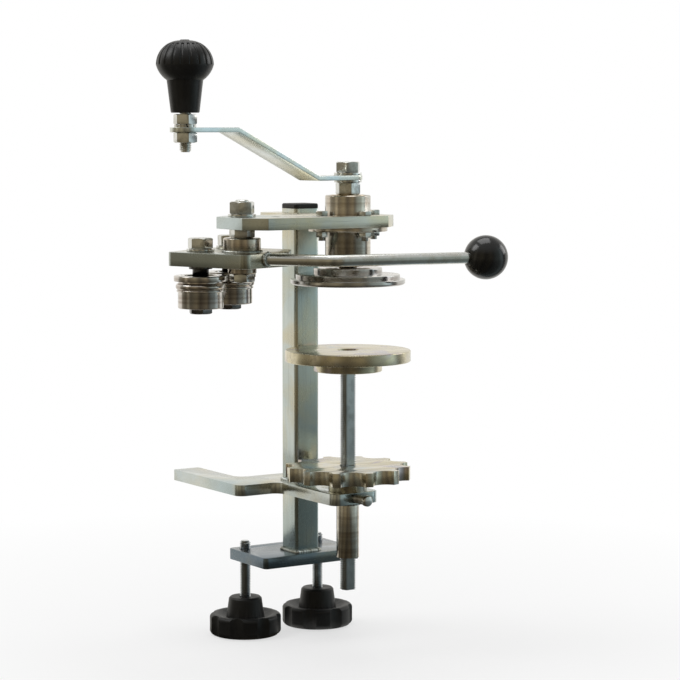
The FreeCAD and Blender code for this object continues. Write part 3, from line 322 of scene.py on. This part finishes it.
class Sheet:
    def __init__(self, tree):
        self.tree = tree

    def add(self, kind, settings=None, inputs=None, output=0):
        node = self.tree.nodes.new(kind)
        for name, value in (settings or {}).items():
            if name == "stops":
                ramp = node.color_ramp
                while len(ramp.elements) < len(value):
                    ramp.elements.new(0.5)
                for element, (position, colour) in zip(ramp.elements, value):
                    element.position = position
                    element.color = (*colour, 1)
            else:
                setattr(node, name, value)
        for name, value in (inputs or {}).items():
            if isinstance(value, Wire):
                self.tree.links.new(value.socket, node.inputs[name])
            else:
                node.inputs[name].default_value = value
        return Wire(self, node.outputs[output])

    def place(self, centre=(0, 0, 0), scale=(1, 1, 1), turn=(0, 0, 0)):
        coordinates = self.add("ShaderNodeTexCoord", output=3)
        moved = self.add("ShaderNodeVectorMath", {"operation": "SUBTRACT"}, {0: coordinates, 1: centre})
        return self.add("ShaderNodeMapping", None, {"Vector": moved, "Scale": scale, "Rotation": turn})

    def noise(self, vector, scale, detail=2.0, roughness=0.5, distortion=0.0):
        return self.add("ShaderNodeTexNoise", None, {"Vector": vector, "Scale": scale, "Detail": detail,
                                                     "Roughness": roughness, "Distortion": distortion})

    def blend(self, share, first, second):
        first = first if isinstance(first, Wire) else (*first, 1)
        second = second if isinstance(second, Wire) else (*second, 1)
        node = self.add("ShaderNodeMix", {"data_type": "RGBA"}, {0: share, 6: first, 7: second}, output=2)
        return node

    def spread(self, value, low, high, newLow, newHigh):
        return self.add("ShaderNodeMapRange", None, {"Value": value, "From Min": low, "From Max": high,
                                                     "To Min": newLow, "To Max": newHigh})

    def bump(self, height, strength, distance, normal=None):
        inputs = {"Height": height, "Strength": strength, "Distance": distance}
        if normal:
            inputs["Normal"] = normal
        return self.add("ShaderNodeBump", None, inputs)


def newMaterial(name, **constants):
    material = bpy.data.materials.new(name)
    material.use_nodes = True
    sheet = Sheet(material.node_tree)
    shader = material.node_tree.nodes["Principled BSDF"]
    for socket, value in constants.items():
        shader.inputs[socket.replace("_", " ")].default_value = value

    def feed(**links):
        for socket, wire in links.items():
            material.node_tree.links.new(wire.socket, shader.inputs[socket.replace("_", " ")])
    return material, sheet, feed


def zincPlate(name, grain=(1, 1, 1), tone=(0.60, 0.635, 0.62), warm=(0.62, 0.58, 0.44), cool=(0.42, 0.53, 0.58),
              rough=0.19):
    # zinc over rolled sheet: faint yellow and blue clouds, fine grain along the sheet, small scuffs
    material, sheet, feed = newMaterial(name, Metallic=1.0)
    spot = sheet.place()
    clouds = sheet.noise(spot, 24, 3, 0.55, 0.8)
    drift = sheet.noise(spot, 11, 2, 0.5, 0.4)
    streaks = sheet.noise(sheet.place(scale=grain), 700, 3, 0.6)
    scuffs = sheet.noise(sheet.place(turn=(0.3, 0.2, 0.8)), 260, 4, 0.7, 1.2)
    colour = sheet.blend(sheet.spread(clouds, 0.40, 0.60, 0, 0.85), tone, warm)
    colour = sheet.blend(sheet.spread(drift, 0.44, 0.64, 0, 0.8), colour, cool)
    colour = sheet.blend(sheet.spread(streaks, 0.50, 0.72, 0, 0.35), colour, (0.34, 0.36, 0.36))
    colour = sheet.blend(sheet.spread(scuffs, 0.60, 0.78, 0, 0.4), colour, (0.36, 0.37, 0.35))
    roughness = sheet.spread(clouds, 0.3, 0.7, rough - 0.04, rough + 0.08) + streaks * 0.07
    feed(Base_Color=colour, Roughness=roughness,
         Normal=sheet.bump(streaks * 0.7 + scuffs * 0.3, 0.14, 0.00008))
    return material


def turnedSteel(name, centre, tone=(0.62, 0.57, 0.49), dark=(0.32, 0.26, 0.20), rough=0.15, rings=1500):
    # lathe-turned steel: rings that follow the radius and the height, with darker bands between cuts
    material, sheet, feed = newMaterial(name, Metallic=1.0)
    spot = sheet.place(centre=centre)
    parts = sheet.add("ShaderNodeSeparateXYZ", None, {0: spot}).socket.node.outputs
    x, y, z = (Wire(sheet, parts[index]) for index in range(3))
    radius = (x * x + y * y) ** 0.5
    lathe = sheet.add("ShaderNodeCombineXYZ", None, {0: radius, 1: z})
    cuts = sheet.noise(lathe, rings, 3, 0.6)
    bands = sheet.noise(lathe, 200, 2, 0.5)
    smear = sheet.noise(spot, 45, 3, 0.6, 0.8)
    colour = sheet.blend(sheet.spread(bands, 0.42, 0.64, 0, 0.6), tone, dark)
    colour = sheet.blend(sheet.spread(smear, 0.45, 0.70, 0, 0.5), colour, (0.46, 0.50, 0.52))
    roughness = sheet.spread(smear, 0.3, 0.7, rough - 0.04, rough + 0.06) + cuts * 0.06
    feed(Base_Color=colour, Roughness=roughness, Normal=sheet.bump(cuts, 0.22, 0.00006))
    return material


def groundSteel(name, centre, turn=0.4, tone=(0.62, 0.575, 0.47)):
    # plate faced on a grinder: long fine scratches one way, faint rainbow of the plating
    material, sheet, feed = newMaterial(name, Metallic=1.0)
    spot = sheet.place(centre=centre, turn=(0, 0, turn))
    scratches = sheet.noise(sheet.place(centre=centre, turn=(0, 0, turn), scale=(0.03, 1, 1)), 1300, 3, 0.65)
    wide = sheet.noise(sheet.place(centre=centre, turn=(0, 0, turn), scale=(0.12, 1, 1)), 190, 3, 0.6)
    clouds = sheet.noise(spot, 26, 3, 0.5, 0.9)
    tint = sheet.add("ShaderNodeValToRGB", {"stops": [
        (0.30, (0.44, 0.51, 0.54)), (0.42, tone), (0.54, (0.66, 0.60, 0.42)), (0.64, (0.50, 0.44, 0.46)),
        (0.74, (0.40, 0.50, 0.52))]}, {0: clouds})
    colour = sheet.blend(sheet.spread(wide, 0.48, 0.72, 0, 0.55), tint, (0.36, 0.32, 0.25))
    roughness = sheet.spread(wide, 0.3, 0.7, 0.17, 0.27) + scratches * 0.06
    feed(Base_Color=colour, Roughness=roughness, Normal=sheet.bump(scratches, 0.22, 0.00006))
    return material


def brightZinc(name, tone=(0.66, 0.67, 0.65), dark=(0.34, 0.33, 0.29), rough=0.14, grain=0.10):
    # bright-plated fasteners and rod
    material, sheet, feed = newMaterial(name, Metallic=1.0)
    spot = sheet.place()
    clouds = sheet.noise(spot, 110, 3, 0.55, 0.4)
    fine = sheet.noise(spot, 900, 2, 0.6)
    colour = sheet.blend(sheet.spread(clouds, 0.44, 0.68, 0, 0.75), tone, dark)
    feed(Base_Color=colour, Roughness=sheet.spread(clouds, 0.3, 0.7, rough - 0.03, rough + 0.09) + fine * 0.03,
         Normal=sheet.bump(fine, grain, 0.00004))
    return material


def blackMoulding(name, rough=0.38, tone=(0.005, 0.005, 0.005), grain=1500, strength=0.25, shine=0.35):
    # black moulded plastic with a faint grain and a little dust
    material, sheet, feed = newMaterial(name, Specular_IOR_Level=shine)
    spot = sheet.place()
    pores = sheet.noise(spot, grain, 3, 0.6)
    dust = sheet.noise(spot, 60, 4, 0.65, 0.5)
    colour = sheet.blend(sheet.spread(dust, 0.5, 0.8, 0, 0.55), tone, (0.018, 0.017, 0.016))
    feed(Base_Color=colour, Roughness=sheet.spread(dust, 0.3, 0.75, rough - 0.04, rough + 0.10) + pores * 0.05,
         Normal=sheet.bump(pores, strength, 0.00008))
    return material


def weldMetal(name):
    material, sheet, feed = newMaterial(name, Metallic=1.0)
    spot = sheet.place()
    ripples = sheet.noise(spot, 420, 3, 0.6, 0.4)
    clouds = sheet.noise(spot, 90, 2, 0.5)
    colour = sheet.blend(sheet.spread(clouds, 0.4, 0.65, 0, 1), (0.58, 0.61, 0.60), (0.38, 0.38, 0.33))
    feed(Base_Color=colour, Roughness=sheet.spread(ripples, 0.3, 0.7, 0.26, 0.42),
         Normal=sheet.bump(ripples, 0.5, 0.0004))
    return material


spindleAxis = jointSpot("crank_turn")
pivotAxis = jointSpot("lever_swing")
knobAxis = jointSpot("crank_knob_spin")
rollerAxes = {"first": jointSpot("first_roller_spin"), "second": jointSpot("second_roller_spin")}

finish = {
    "column": zincPlate("column_zinc", grain=(1, 1, 0.03), tone=(0.55, 0.60, 0.585), cool=(0.40, 0.49, 0.50)),
    "plate": zincPlate("plate_zinc", grain=(0.04, 1, 1)),
    "top": zincPlate("top_plate_zinc", grain=(0.04, 1, 1), tone=(0.64, 0.63, 0.56), warm=(0.66, 0.60, 0.43),
                     cool=(0.46, 0.55, 0.58)),
    # the base plate is the same zinc as the other plates; its dark blue-grey tone is painted shade and a painted dark
    # reflection
    "base": zincPlate("base_plate_zinc_painted_shade", grain=(0.04, 1, 1), tone=(0.16, 0.19, 0.22), warm=(0.22, 0.23, 0.20),
                      cool=(0.12, 0.17, 0.22)),
    "crank": zincPlate("crank_zinc", grain=(0.04, 1, 1), tone=(0.66, 0.70, 0.69), warm=(0.70, 0.68, 0.55),
                       cool=(0.55, 0.64, 0.68)),
    # the lever plate's darker olive tone is painted shade: it stands for the dark underside of the top plate reflected
    # in it
    "lever": zincPlate("lever_zinc_painted_shade", grain=(0.04, 1, 1), tone=(0.42, 0.41, 0.35), warm=(0.40, 0.36, 0.25),
                        cool=(0.36, 0.41, 0.40)),
    "housing": turnedSteel("turned_housing", spindleAxis),
    "chuck": turnedSteel("turned_chuck", spindleAxis, tone=(0.56, 0.55, 0.53), dark=(0.24, 0.19, 0.16), rough=0.12),
    "hub": turnedSteel("turned_hub", pivotAxis, tone=(0.56, 0.50, 0.42)),
    "disc": groundSteel("ground_disc", spindleAxis, 0.6),
    "wheel": groundSteel("ground_wheel", spindleAxis, -0.5, tone=(0.62, 0.59, 0.50)),
    "first_roller": turnedSteel("turned_first_roller", rollerAxes["first"], tone=(0.60, 0.57, 0.54),
                                dark=(0.28, 0.22, 0.18), rough=0.09),
    "second_roller": turnedSteel("turned_second_roller", rollerAxes["second"], tone=(0.60, 0.57, 0.54),
                                 dark=(0.28, 0.22, 0.18), rough=0.09),
    "zinc": brightZinc("bright_zinc"),
    "rod": brightZinc("handle_zinc", tone=(0.70, 0.71, 0.69), dark=(0.56, 0.54, 0.48), rough=0.18, grain=0.03),
    "thread": brightZinc("thread_zinc", tone=(0.52, 0.55, 0.57), dark=(0.33, 0.34, 0.35)),
    # near-black tone painted for the shade under the rollers, where the nuts and spacers sit
    "dark": brightZinc("steel_painted_shade", tone=(0.12, 0.12, 0.12), dark=(0.05, 0.05, 0.05)),
    "bearing": brightZinc("race_steel", tone=(0.42, 0.41, 0.40), dark=(0.25, 0.24, 0.22)),
    "bronze": turnedSteel("turned_bronze", spindleAxis, tone=(0.62, 0.46, 0.26), dark=(0.40, 0.27, 0.14)),
    "grip": blackMoulding("grip_plastic", 0.42),
    "knob": blackMoulding("knob_plastic", 0.30, grain=900, strength=0.12),
    "ball": blackMoulding("ball_plastic", 0.14, tone=(0.004, 0.004, 0.004), grain=500, strength=0.05, shine=0.5),
    "weld": weldMetal("weld_metal"),
}
print("materials ready")

bodyOf = {node: body for body, nodes in frame["record"]["behaviour"]["bodies"].items() for node in nodes}
slotOf = {part["node"]: part["material_slot"] for part in frame["record"]["subparts"]}


def dress(node, finishName, bevel=0.4, angle=35):
    # a softened copy stands for the node under its own body
    piece = copyOfNode(node, node + "_dressed", bevel, angle)
    return settle(piece, bodyOf[node], slotOf[node], finish[finishName], node)


# ---- cut and welded frame

for node, finishName, bevel in (("column", "column", 0.3), ("base_plate", "base", 0.6), ("table_bracket", "plate", 0.6),
                                ("top_plate", "top", 0.6), ("lever_plate", "lever", 0.6), ("crank_arm", "crank", 0.35),
                                ("column_cap", "grip", 0.4)):
    dress(node, finishName, bevel)
print("plates dressed")

for node, finishName, bevel in (("flange_bolts", "zinc", 0.25), ("flange_nuts", "zinc", 0.25), ("pivot_bolt", "zinc", 0.3),
                                ("pivot_nut", "zinc", 0.3), ("pivot_washer", "zinc", 0.25), ("pivot_jam_nut", "zinc", 0.3),
                                ("spindle_nut", "zinc", 0.3), ("crank_bolt", "zinc", 0.4), ("crank_washers", "zinc", 0.25),
                                ("knob_stud_nuts", "zinc", 0.3),
                                ("roller_bolts", "zinc", 0.4), ("roller_washers", "zinc", 0.25),
                                # the roller spacers and nuts take the steel whose near-black tone is painted shade
                                ("roller_spacers", "dark", 0.2), ("roller_nuts", "dark", 0.3), ("spindle", "housing", 0.2),
                                ("chuck_bolt", "zinc", 0.2), ("handle_rod", "rod", 0), ("guide_sleeve", "housing", 0.4),
                                ("upper_bush", "bronze", 0.2), ("lower_bush", "bronze", 0.2)):
    dress(node, finishName, bevel)
print("fasteners dressed")

for node, finishName in (("spindle_housing", "housing"), ("chuck", "chuck"),
                         ("lever_hub", "hub"), ("support_disc", "disc"), ("star_wheel", "wheel"),
                         ("first_roller", "first_roller"), ("second_roller", "second_roller"),
                         ("handle_ball", "ball"), ("crank_knob", "knob"), ("left_clamp_grip", "grip"),
                         ("right_clamp_grip", "grip")):
    dress(node, finishName, 0.25)
print("turned parts dressed")


# ---- threads

def heights(node):
    low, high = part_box(node)
    return low.z / mm, high.z / mm


def makeLiftRod():
    rod = {"radius": 7.0, "depth": 1.1, "pitch": 2.0, "steps": 40, "flat": 2.2, "spigotRadius": 6.0, "chamfer": 1.0}
    low, high = heights("lift_rod")
    shoulder = heights("support_bearing")[0]
    centre = spindleAxis
    piece = screwThread("lift_rod_thread", centre, rod, low, shoulder)
    cutAway(piece, (centre.x, centre.y - (rod["radius"] - rod["flat"]) * mm, 0), (0, -1, 0))
    finishThread(piece)
    r = rod["spigotRadius"]
    spigot = turnPiece("lift_rod_spigot", centre, [(r, shoulder - 1), (r, high - 0.5), (r - 0.5, high)], bevel=0)
    return settle(joinInto(piece, spigot), bodyOf["lift_rod"], slotOf["lift_rod"], finish["thread"], "lift_rod")


def makeClampScrew(side):
    screw = {"radius": 5.0, "depth": 0.85, "pitch": 1.5, "steps": 32, "point": 1.4, "root": 3.9}
    node = side + "_clamp_screw"
    low, high = heights(node)
    centre = inPlan(middleOf(node))
    piece = finishThread(screwThread(node + "_thread", centre, screw, low, high - screw["point"]))
    root = screw["root"]
    tip = turnPiece(node + "_tip", centre, [(root, high - screw["point"] - 1), (root, high - 0.4), (root - 0.5, high)],
                    steps=64, bevel=0)
    return settle(joinInto(piece, tip), bodyOf[node], slotOf[node], finish["thread"], node)


def makeKnobStud():
    stud = {"radius": 5.0, "depth": 0.85, "pitch": 1.5, "steps": 32, "point": 1.2, "root": 3.9}
    low, high = heights("knob_stud")
    thread = finishThread(screwThread("knob_stud_thread", knobAxis, stud, low + stud["point"], high))
    root = stud["root"]
    tip = turnPiece("knob_stud_tip", knobAxis, [(root - 0.5, low), (root, low + 0.4), (root, low + stud["point"] + 1)],
                    steps=64, bevel=0)
    return settle(joinInto(thread, tip), bodyOf["knob_stud"], slotOf["knob_stud"], finish["zinc"], "knob_stud")


def makeGuideScrew():
    # modelled upright, then laid along the arm
    screw = {"radius": 4.0, "depth": 0.7, "pitch": 1.25, "steps": 32, "headRadius": 4.8, "headLength": 4.0}
    low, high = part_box("guide_screw")
    length = (high.y - low.y) / mm
    middle = middleOf("guide_screw")
    centre = Vector((0, 0, 0))
    piece = finishThread(screwThread("guide_screw_thread", centre, screw, 0, length - screw["headLength"]))
    radius, foot = screw["headRadius"], length - screw["headLength"]
    head = turnPiece("guide_screw_head", centre, [(radius - 0.3, foot), (radius, foot + 0.3), (radius, length - 1.2),
                                                  (radius - 0.4, length - 0.4), (radius - 1.2, length)],
                     steps=64, bevel=0)
    piece = joinInto(piece, head)
    piece.rotation_euler = (math.radians(90), 0, 0)
    piece.location = (middle.x, high.y, middle.z)
    workOn(piece)
    bpy.ops.object.transform_apply(location=True, rotation=True, scale=True)
    return settle(piece, bodyOf["guide_screw"], slotOf["guide_screw"], finish["zinc"], "guide_screw")


makeLiftRod()
makeClampScrew("left")
makeClampScrew("right")
makeKnobStud()
makeGuideScrew()
print("threads cut")


# ---- ball bearings: two races with a sunk shield between them

def makeBearings(node):
    race = {"thick": 2.0, "shieldDepth": 0.5}
    source = frame["nodes"][node]
    workOn(source)
    low, high = heights(node)
    lowCorner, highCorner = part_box(node)
    centre = inPlan((lowCorner + highCorner) / 2)
    outer, bore, width = bearing["outer"] / 2, bearing["bore"] / 2, bearing["width"]
    floors = [low] if high - low < width * 1.5 else [low, high - width]
    rings = []
    for index, foot in enumerate(floors):
        top, sunk = foot + width, race["shieldDepth"]
        inner, wall = bore + race["thick"], outer - race["thick"]
        rings.append(turnPiece(f"{node}_ring{index}", centre, [
            (bore, foot), (inner, foot), (inner, foot + sunk), (wall, foot + sunk), (wall, foot), (outer, foot),
            (outer, top), (wall, top), (wall, top - sunk), (inner, top - sunk), (inner, top), (bore, top)],
            steps=96, bevel=0.2, hollow=True))
    piece = joinInto(*rings)
    piece.name = node + "_races"
    return settle(piece, bodyOf[node], slotOf[node], finish["bearing"], node)


bearing = {"outer": 28.0, "bore": 12.0, "width": 8.0}
for node in ("first_roller_bearings", "second_roller_bearings", "support_bearing"):
    makeBearings(node)
print("bearings made")


# ---- spring washer with its slanting split

def makeSpringWasher():
    split = {"width": 1.3, "slant": 25, "bearing": 250}
    piece = copyOfNode("knob_stud_washer", "knob_stud_spring_washer", 0)
    low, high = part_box("knob_stud_washer")
    reach = (high.x - low.x) / 2
    middle = middleOf("knob_stud_washer")
    angle = math.radians(split["bearing"])
    deselectAll()
    bpy.ops.mesh.primitive_cube_add(size=1, location=middle + Vector((math.cos(angle), math.sin(angle), 0)) * reach * 0.75,
                                    rotation=(math.radians(split["slant"]), 0, angle))
    cutter = bpy.context.object
    cutter.scale = (reach, split["width"] * mm, (high.z - low.z) * 3)
    bpy.ops.object.transform_apply(location=True, rotation=True, scale=True)
    applyModifier(piece, "BOOLEAN", object=cutter, operation="DIFFERENCE", solver="EXACT")
    bpy.data.objects.remove(cutter)
    softenEdges(piece, 0.15)
    return settle(piece, bodyOf["knob_stud_washer"], slotOf["knob_stud_washer"], finish["zinc"], "knob_stud_washer")


makeSpringWasher()


# ---- welds

def squareAround(centre, half, height, corner=2.5):
    x, y = centre.x / mm, centre.y / mm
    path = []
    for signX, signY, start in ((1, 1, 0), (-1, 1, 90), (-1, -1, 180), (1, -1, 270)):
        for step in range(4):
            angle = math.radians(start + step * 30)
            path.append((x + signX * (half - corner) + corner * math.cos(angle),
                         y + signY * (half - corner) + corner * math.sin(angle), height))
    return path


def circleAround(centre, radius, height, count=48):
    x, y = centre.x / mm, centre.y / mm
    return [(x + radius * math.cos(math.tau * index / count), y + radius * math.sin(math.tau * index / count), height)
            for index in range(count)]


def makeWelds():
    bead = {"column": 1.9, "plate": 1.5, "sleeve": 1.5, "handle": 1.6, "hub": 1.3}
    columnHalf = (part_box("column")[1].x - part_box("column")[0].x) / 2 / mm
    origin = Vector((0, 0, 0))
    baseTop = heights("base_plate")[1]
    bracketLow, bracketTop = heights("table_bracket")
    plateLow = heights("top_plate")[0]
    welds = [
        weldBead("weld_column_foot", squareAround(origin, columnHalf + 0.5, baseTop + 0.5), bead["column"], 3, True),
        weldBead("weld_bracket_under", squareAround(origin, columnHalf + 0.4, bracketLow - 0.4), bead["plate"], 5, True),
        weldBead("weld_bracket_top", squareAround(origin, columnHalf + 0.3, bracketTop + 0.3), bead["plate"], 7, True),
        weldBead("weld_top_plate", squareAround(origin, columnHalf + 0.4, plateLow - 0.4), bead["plate"], 11, True),
    ]
    sleeveRadius = (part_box("guide_sleeve")[1].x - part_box("guide_sleeve")[0].x) / 2 / mm
    welds.append(weldBead("weld_sleeve", circleAround(spindleAxis, sleeveRadius + 0.4, bracketLow - 0.5),
                          bead["sleeve"], 13, True))
    for weld in welds:
        settle(weld, bodyOf["column"], slotOf["column"], finish["weld"])
    hubRadius = (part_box("lever_hub")[1].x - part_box("lever_hub")[0].x) / 2 / mm
    leverTop = heights("lever_plate")[1]
    # the handle meets the lever plate's front edge: half its length back from the rod's near end
    lever = math.radians(20.1)
    along = Vector((math.cos(lever), math.sin(lever), 0))
    low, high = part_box("handle_rod")
    rodRadius = (high.z - low.z) / 2 / mm
    root = Vector((low.x / mm + rodRadius * 0.62, high.y / mm - rodRadius * 0.85, (low.z + high.z) / 2 / mm))
    ring = []
    for index in range(24):
        angle = math.tau * index / 24
        ring.append(tuple(root + along * (rodRadius + 0.6) * math.cos(angle)
                          + Vector((0, 0, 1)) * (rodRadius + 0.2) * math.sin(angle)))
    handleWeld = weldBead("weld_handle", ring, bead["handle"], 19, True)
    settle(handleWeld, bodyOf["lever_plate"], slotOf["lever_plate"], finish["weld"])
    hubWeld = weldBead("weld_lever_hub", circleAround(pivotAxis, hubRadius + 0.3, leverTop + 0.3), bead["hub"], 17, True)
    settle(hubWeld, bodyOf["lever_plate"], slotOf["lever_plate"], finish["weld"])


makeWelds()
print("welds laid")


# ---- camera, light and floor

view = {"place": (-1105.5, -1767.6, 328.5), "turn": 33.01, "tilt": 5.245, "lens": 122.78}
cameraData = bpy.data.cameras.new("camera")
cameraData.lens = view["lens"]
cameraData.sensor_width = 36
cameraData.clip_end = 50
camera = bpy.data.objects.new("camera", cameraData)
camera.location = Vector(view["place"]) * mm
camera.rotation_euler = (math.radians(90 - view["tilt"]), 0, math.radians(-view["turn"]))
bpy.context.scene.collection.objects.link(camera)
bpy.context.scene.camera = camera

def roomColour(sheet, vector):
    # what polished metal sees round the room: pale backdrop, dim front, cool window on the right
    split = sheet.add("ShaderNodeSeparateXYZ", None, {0: vector}).socket.node.outputs
    across, along = Wire(sheet, split[0]), Wire(sheet, split[1])
    turn = math.radians(view["turn"])
    toRight = across * math.cos(turn) - along * math.sin(turn)
    toFront = (across * math.sin(turn) + along * math.cos(turn)) * -1.0
    bearing = sheet.add("ShaderNodeMath", {"operation": "ARCTAN2"}, {0: toRight, 1: toFront}) / math.tau + 0.5
    walls = sheet.add("ShaderNodeValToRGB", {"stops": [
        (0.00, (0.98, 0.96, 0.91)), (0.20, (0.98, 0.95, 0.88)), (0.225, (0.34, 0.32, 0.26)),
        (0.30, (0.24, 0.21, 0.15)), (0.33, (0.62, 0.56, 0.42)), (0.36, (0.20, 0.17, 0.12)),
        (0.44, (0.34, 0.29, 0.19)), (0.49, (0.13, 0.11, 0.08)), (0.57, (0.30, 0.26, 0.18)),
        (0.60, (0.17, 0.16, 0.13)), (0.64, (0.34, 0.39, 0.37)), (0.70, (0.46, 0.54, 0.53)),
        (0.725, (0.82, 0.98, 1.00)), (0.76, (0.70, 0.85, 0.90)), (0.775, (0.12, 0.13, 0.14)),
        (0.81, (0.22, 0.22, 0.20)), (0.83, (0.95, 0.96, 0.93)), (1.00, (0.98, 0.96, 0.91))]}, {0: bearing})
    return walls, toFront


floorHeight = cadBox[0].z - 0.0005
deselectAll()
bpy.ops.mesh.primitive_plane_add(size=24, location=(0, 0, floorHeight))
floor = bpy.context.object
floor.name = "floor"
floorMaterial = bpy.data.materials.new("floor_white")
floorMaterial.use_nodes = True
ground = Sheet(floorMaterial.node_tree)
floorMaterial.node_tree.nodes.remove(floorMaterial.node_tree.nodes["Principled BSDF"])
spot = ground.add("ShaderNodeTexCoord", output=3)
distance = ground.add("ShaderNodeVectorMath", {"operation": "LENGTH"}, {0: spot}, output=1)
rays = ground.add("ShaderNodeLightPath").socket.node.outputs
isCamera, isGlossy = (Wire(ground, rays[kind]) for kind in ("Is Camera Ray", "Is Glossy Ray"))
# to the eye the floor pales into the backdrop; metal sees the room in it, dimmer close by in front
paper = ground.add("ShaderNodeBsdfDiffuse", None, {"Color": (0.95, 0.95, 0.95, 1)})
glow = ground.add("ShaderNodeEmission", None, {"Color": (1, 1, 1, 1)})
far = ground.spread(distance, 0.20, 0.70, 0, 1)
seen = ground.add("ShaderNodeMixShader", None, {0: (0.62 + far * 0.38) * isCamera, 1: paper, 2: glow})
walls, toFront = roomColour(ground, spot)
front = ground.spread(toFront / distance, -0.35, 0.15, 0, 1)
dimmed = 1 - front * ground.spread(distance, 0.3, 3.0, 0.72, 0.0)
mirrored = ground.add("ShaderNodeEmission", None, {"Color": walls, "Strength": dimmed})
shown = ground.add("ShaderNodeMixShader", None, {0: isGlossy, 1: seen, 2: mirrored})
floorMaterial.node_tree.links.new(shown.socket, floorMaterial.node_tree.nodes["Material Output"].inputs[0])
floor.data.materials.append(floorMaterial)

studio = bpy.data.worlds.new("studio")
bpy.context.scene.world = studio
studio.use_nodes = True
sky = Sheet(studio.node_tree)
direction = sky.add("ShaderNodeTexCoord", output=0)
walls, toFront = roomColour(sky, direction)
up = Wire(sky, sky.add("ShaderNodeSeparateXYZ", None, {0: direction}).socket.node.outputs[2])
room = sky.blend(sky.spread(up, 0.35, 0.80, 0, 1), walls, (0.60, 0.60, 0.58))
rays = sky.add("ShaderNodeLightPath").socket.node.outputs
isCamera, isGlossy = (Wire(sky, rays[kind]) for kind in ("Is Camera Ray", "Is Glossy Ray"))
colour = sky.blend(isGlossy, (0.45, 0.45, 0.45), room)
colour = sky.blend(isCamera, colour, (1.0, 1.0, 1.0))
background = studio.node_tree.nodes["Background"]
studio.node_tree.links.new(colour.socket, background.inputs["Color"])
background.inputs["Strength"].default_value = 1.0

lamps = {
    "key": {"place": (-1.2, 0.5, 1.5), "size": 0.9, "power": 9},
    "window": {"place": (1.5, -0.4, 0.8), "size": 0.7, "power": 4},
    "top": {"place": (0.1, 0.2, 1.9), "size": 1.2, "power": 10},
}
for name, lamp in lamps.items():
    light = bpy.data.lights.new(name, "AREA")
    light.energy = lamp["power"]
    light.size = lamp["size"]
    holder = bpy.data.objects.new(name, light)
    holder.location = lamp["place"]
    holder.rotation_euler = (Vector((0, -0.05, 0.12)) - Vector(lamp["place"])).to_track_quat("-Z", "Y").to_euler()
    bpy.context.scene.collection.objects.link(holder)

bpy.context.scene.view_settings.view_transform = "Standard"
print("studio ready")

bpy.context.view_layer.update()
import json
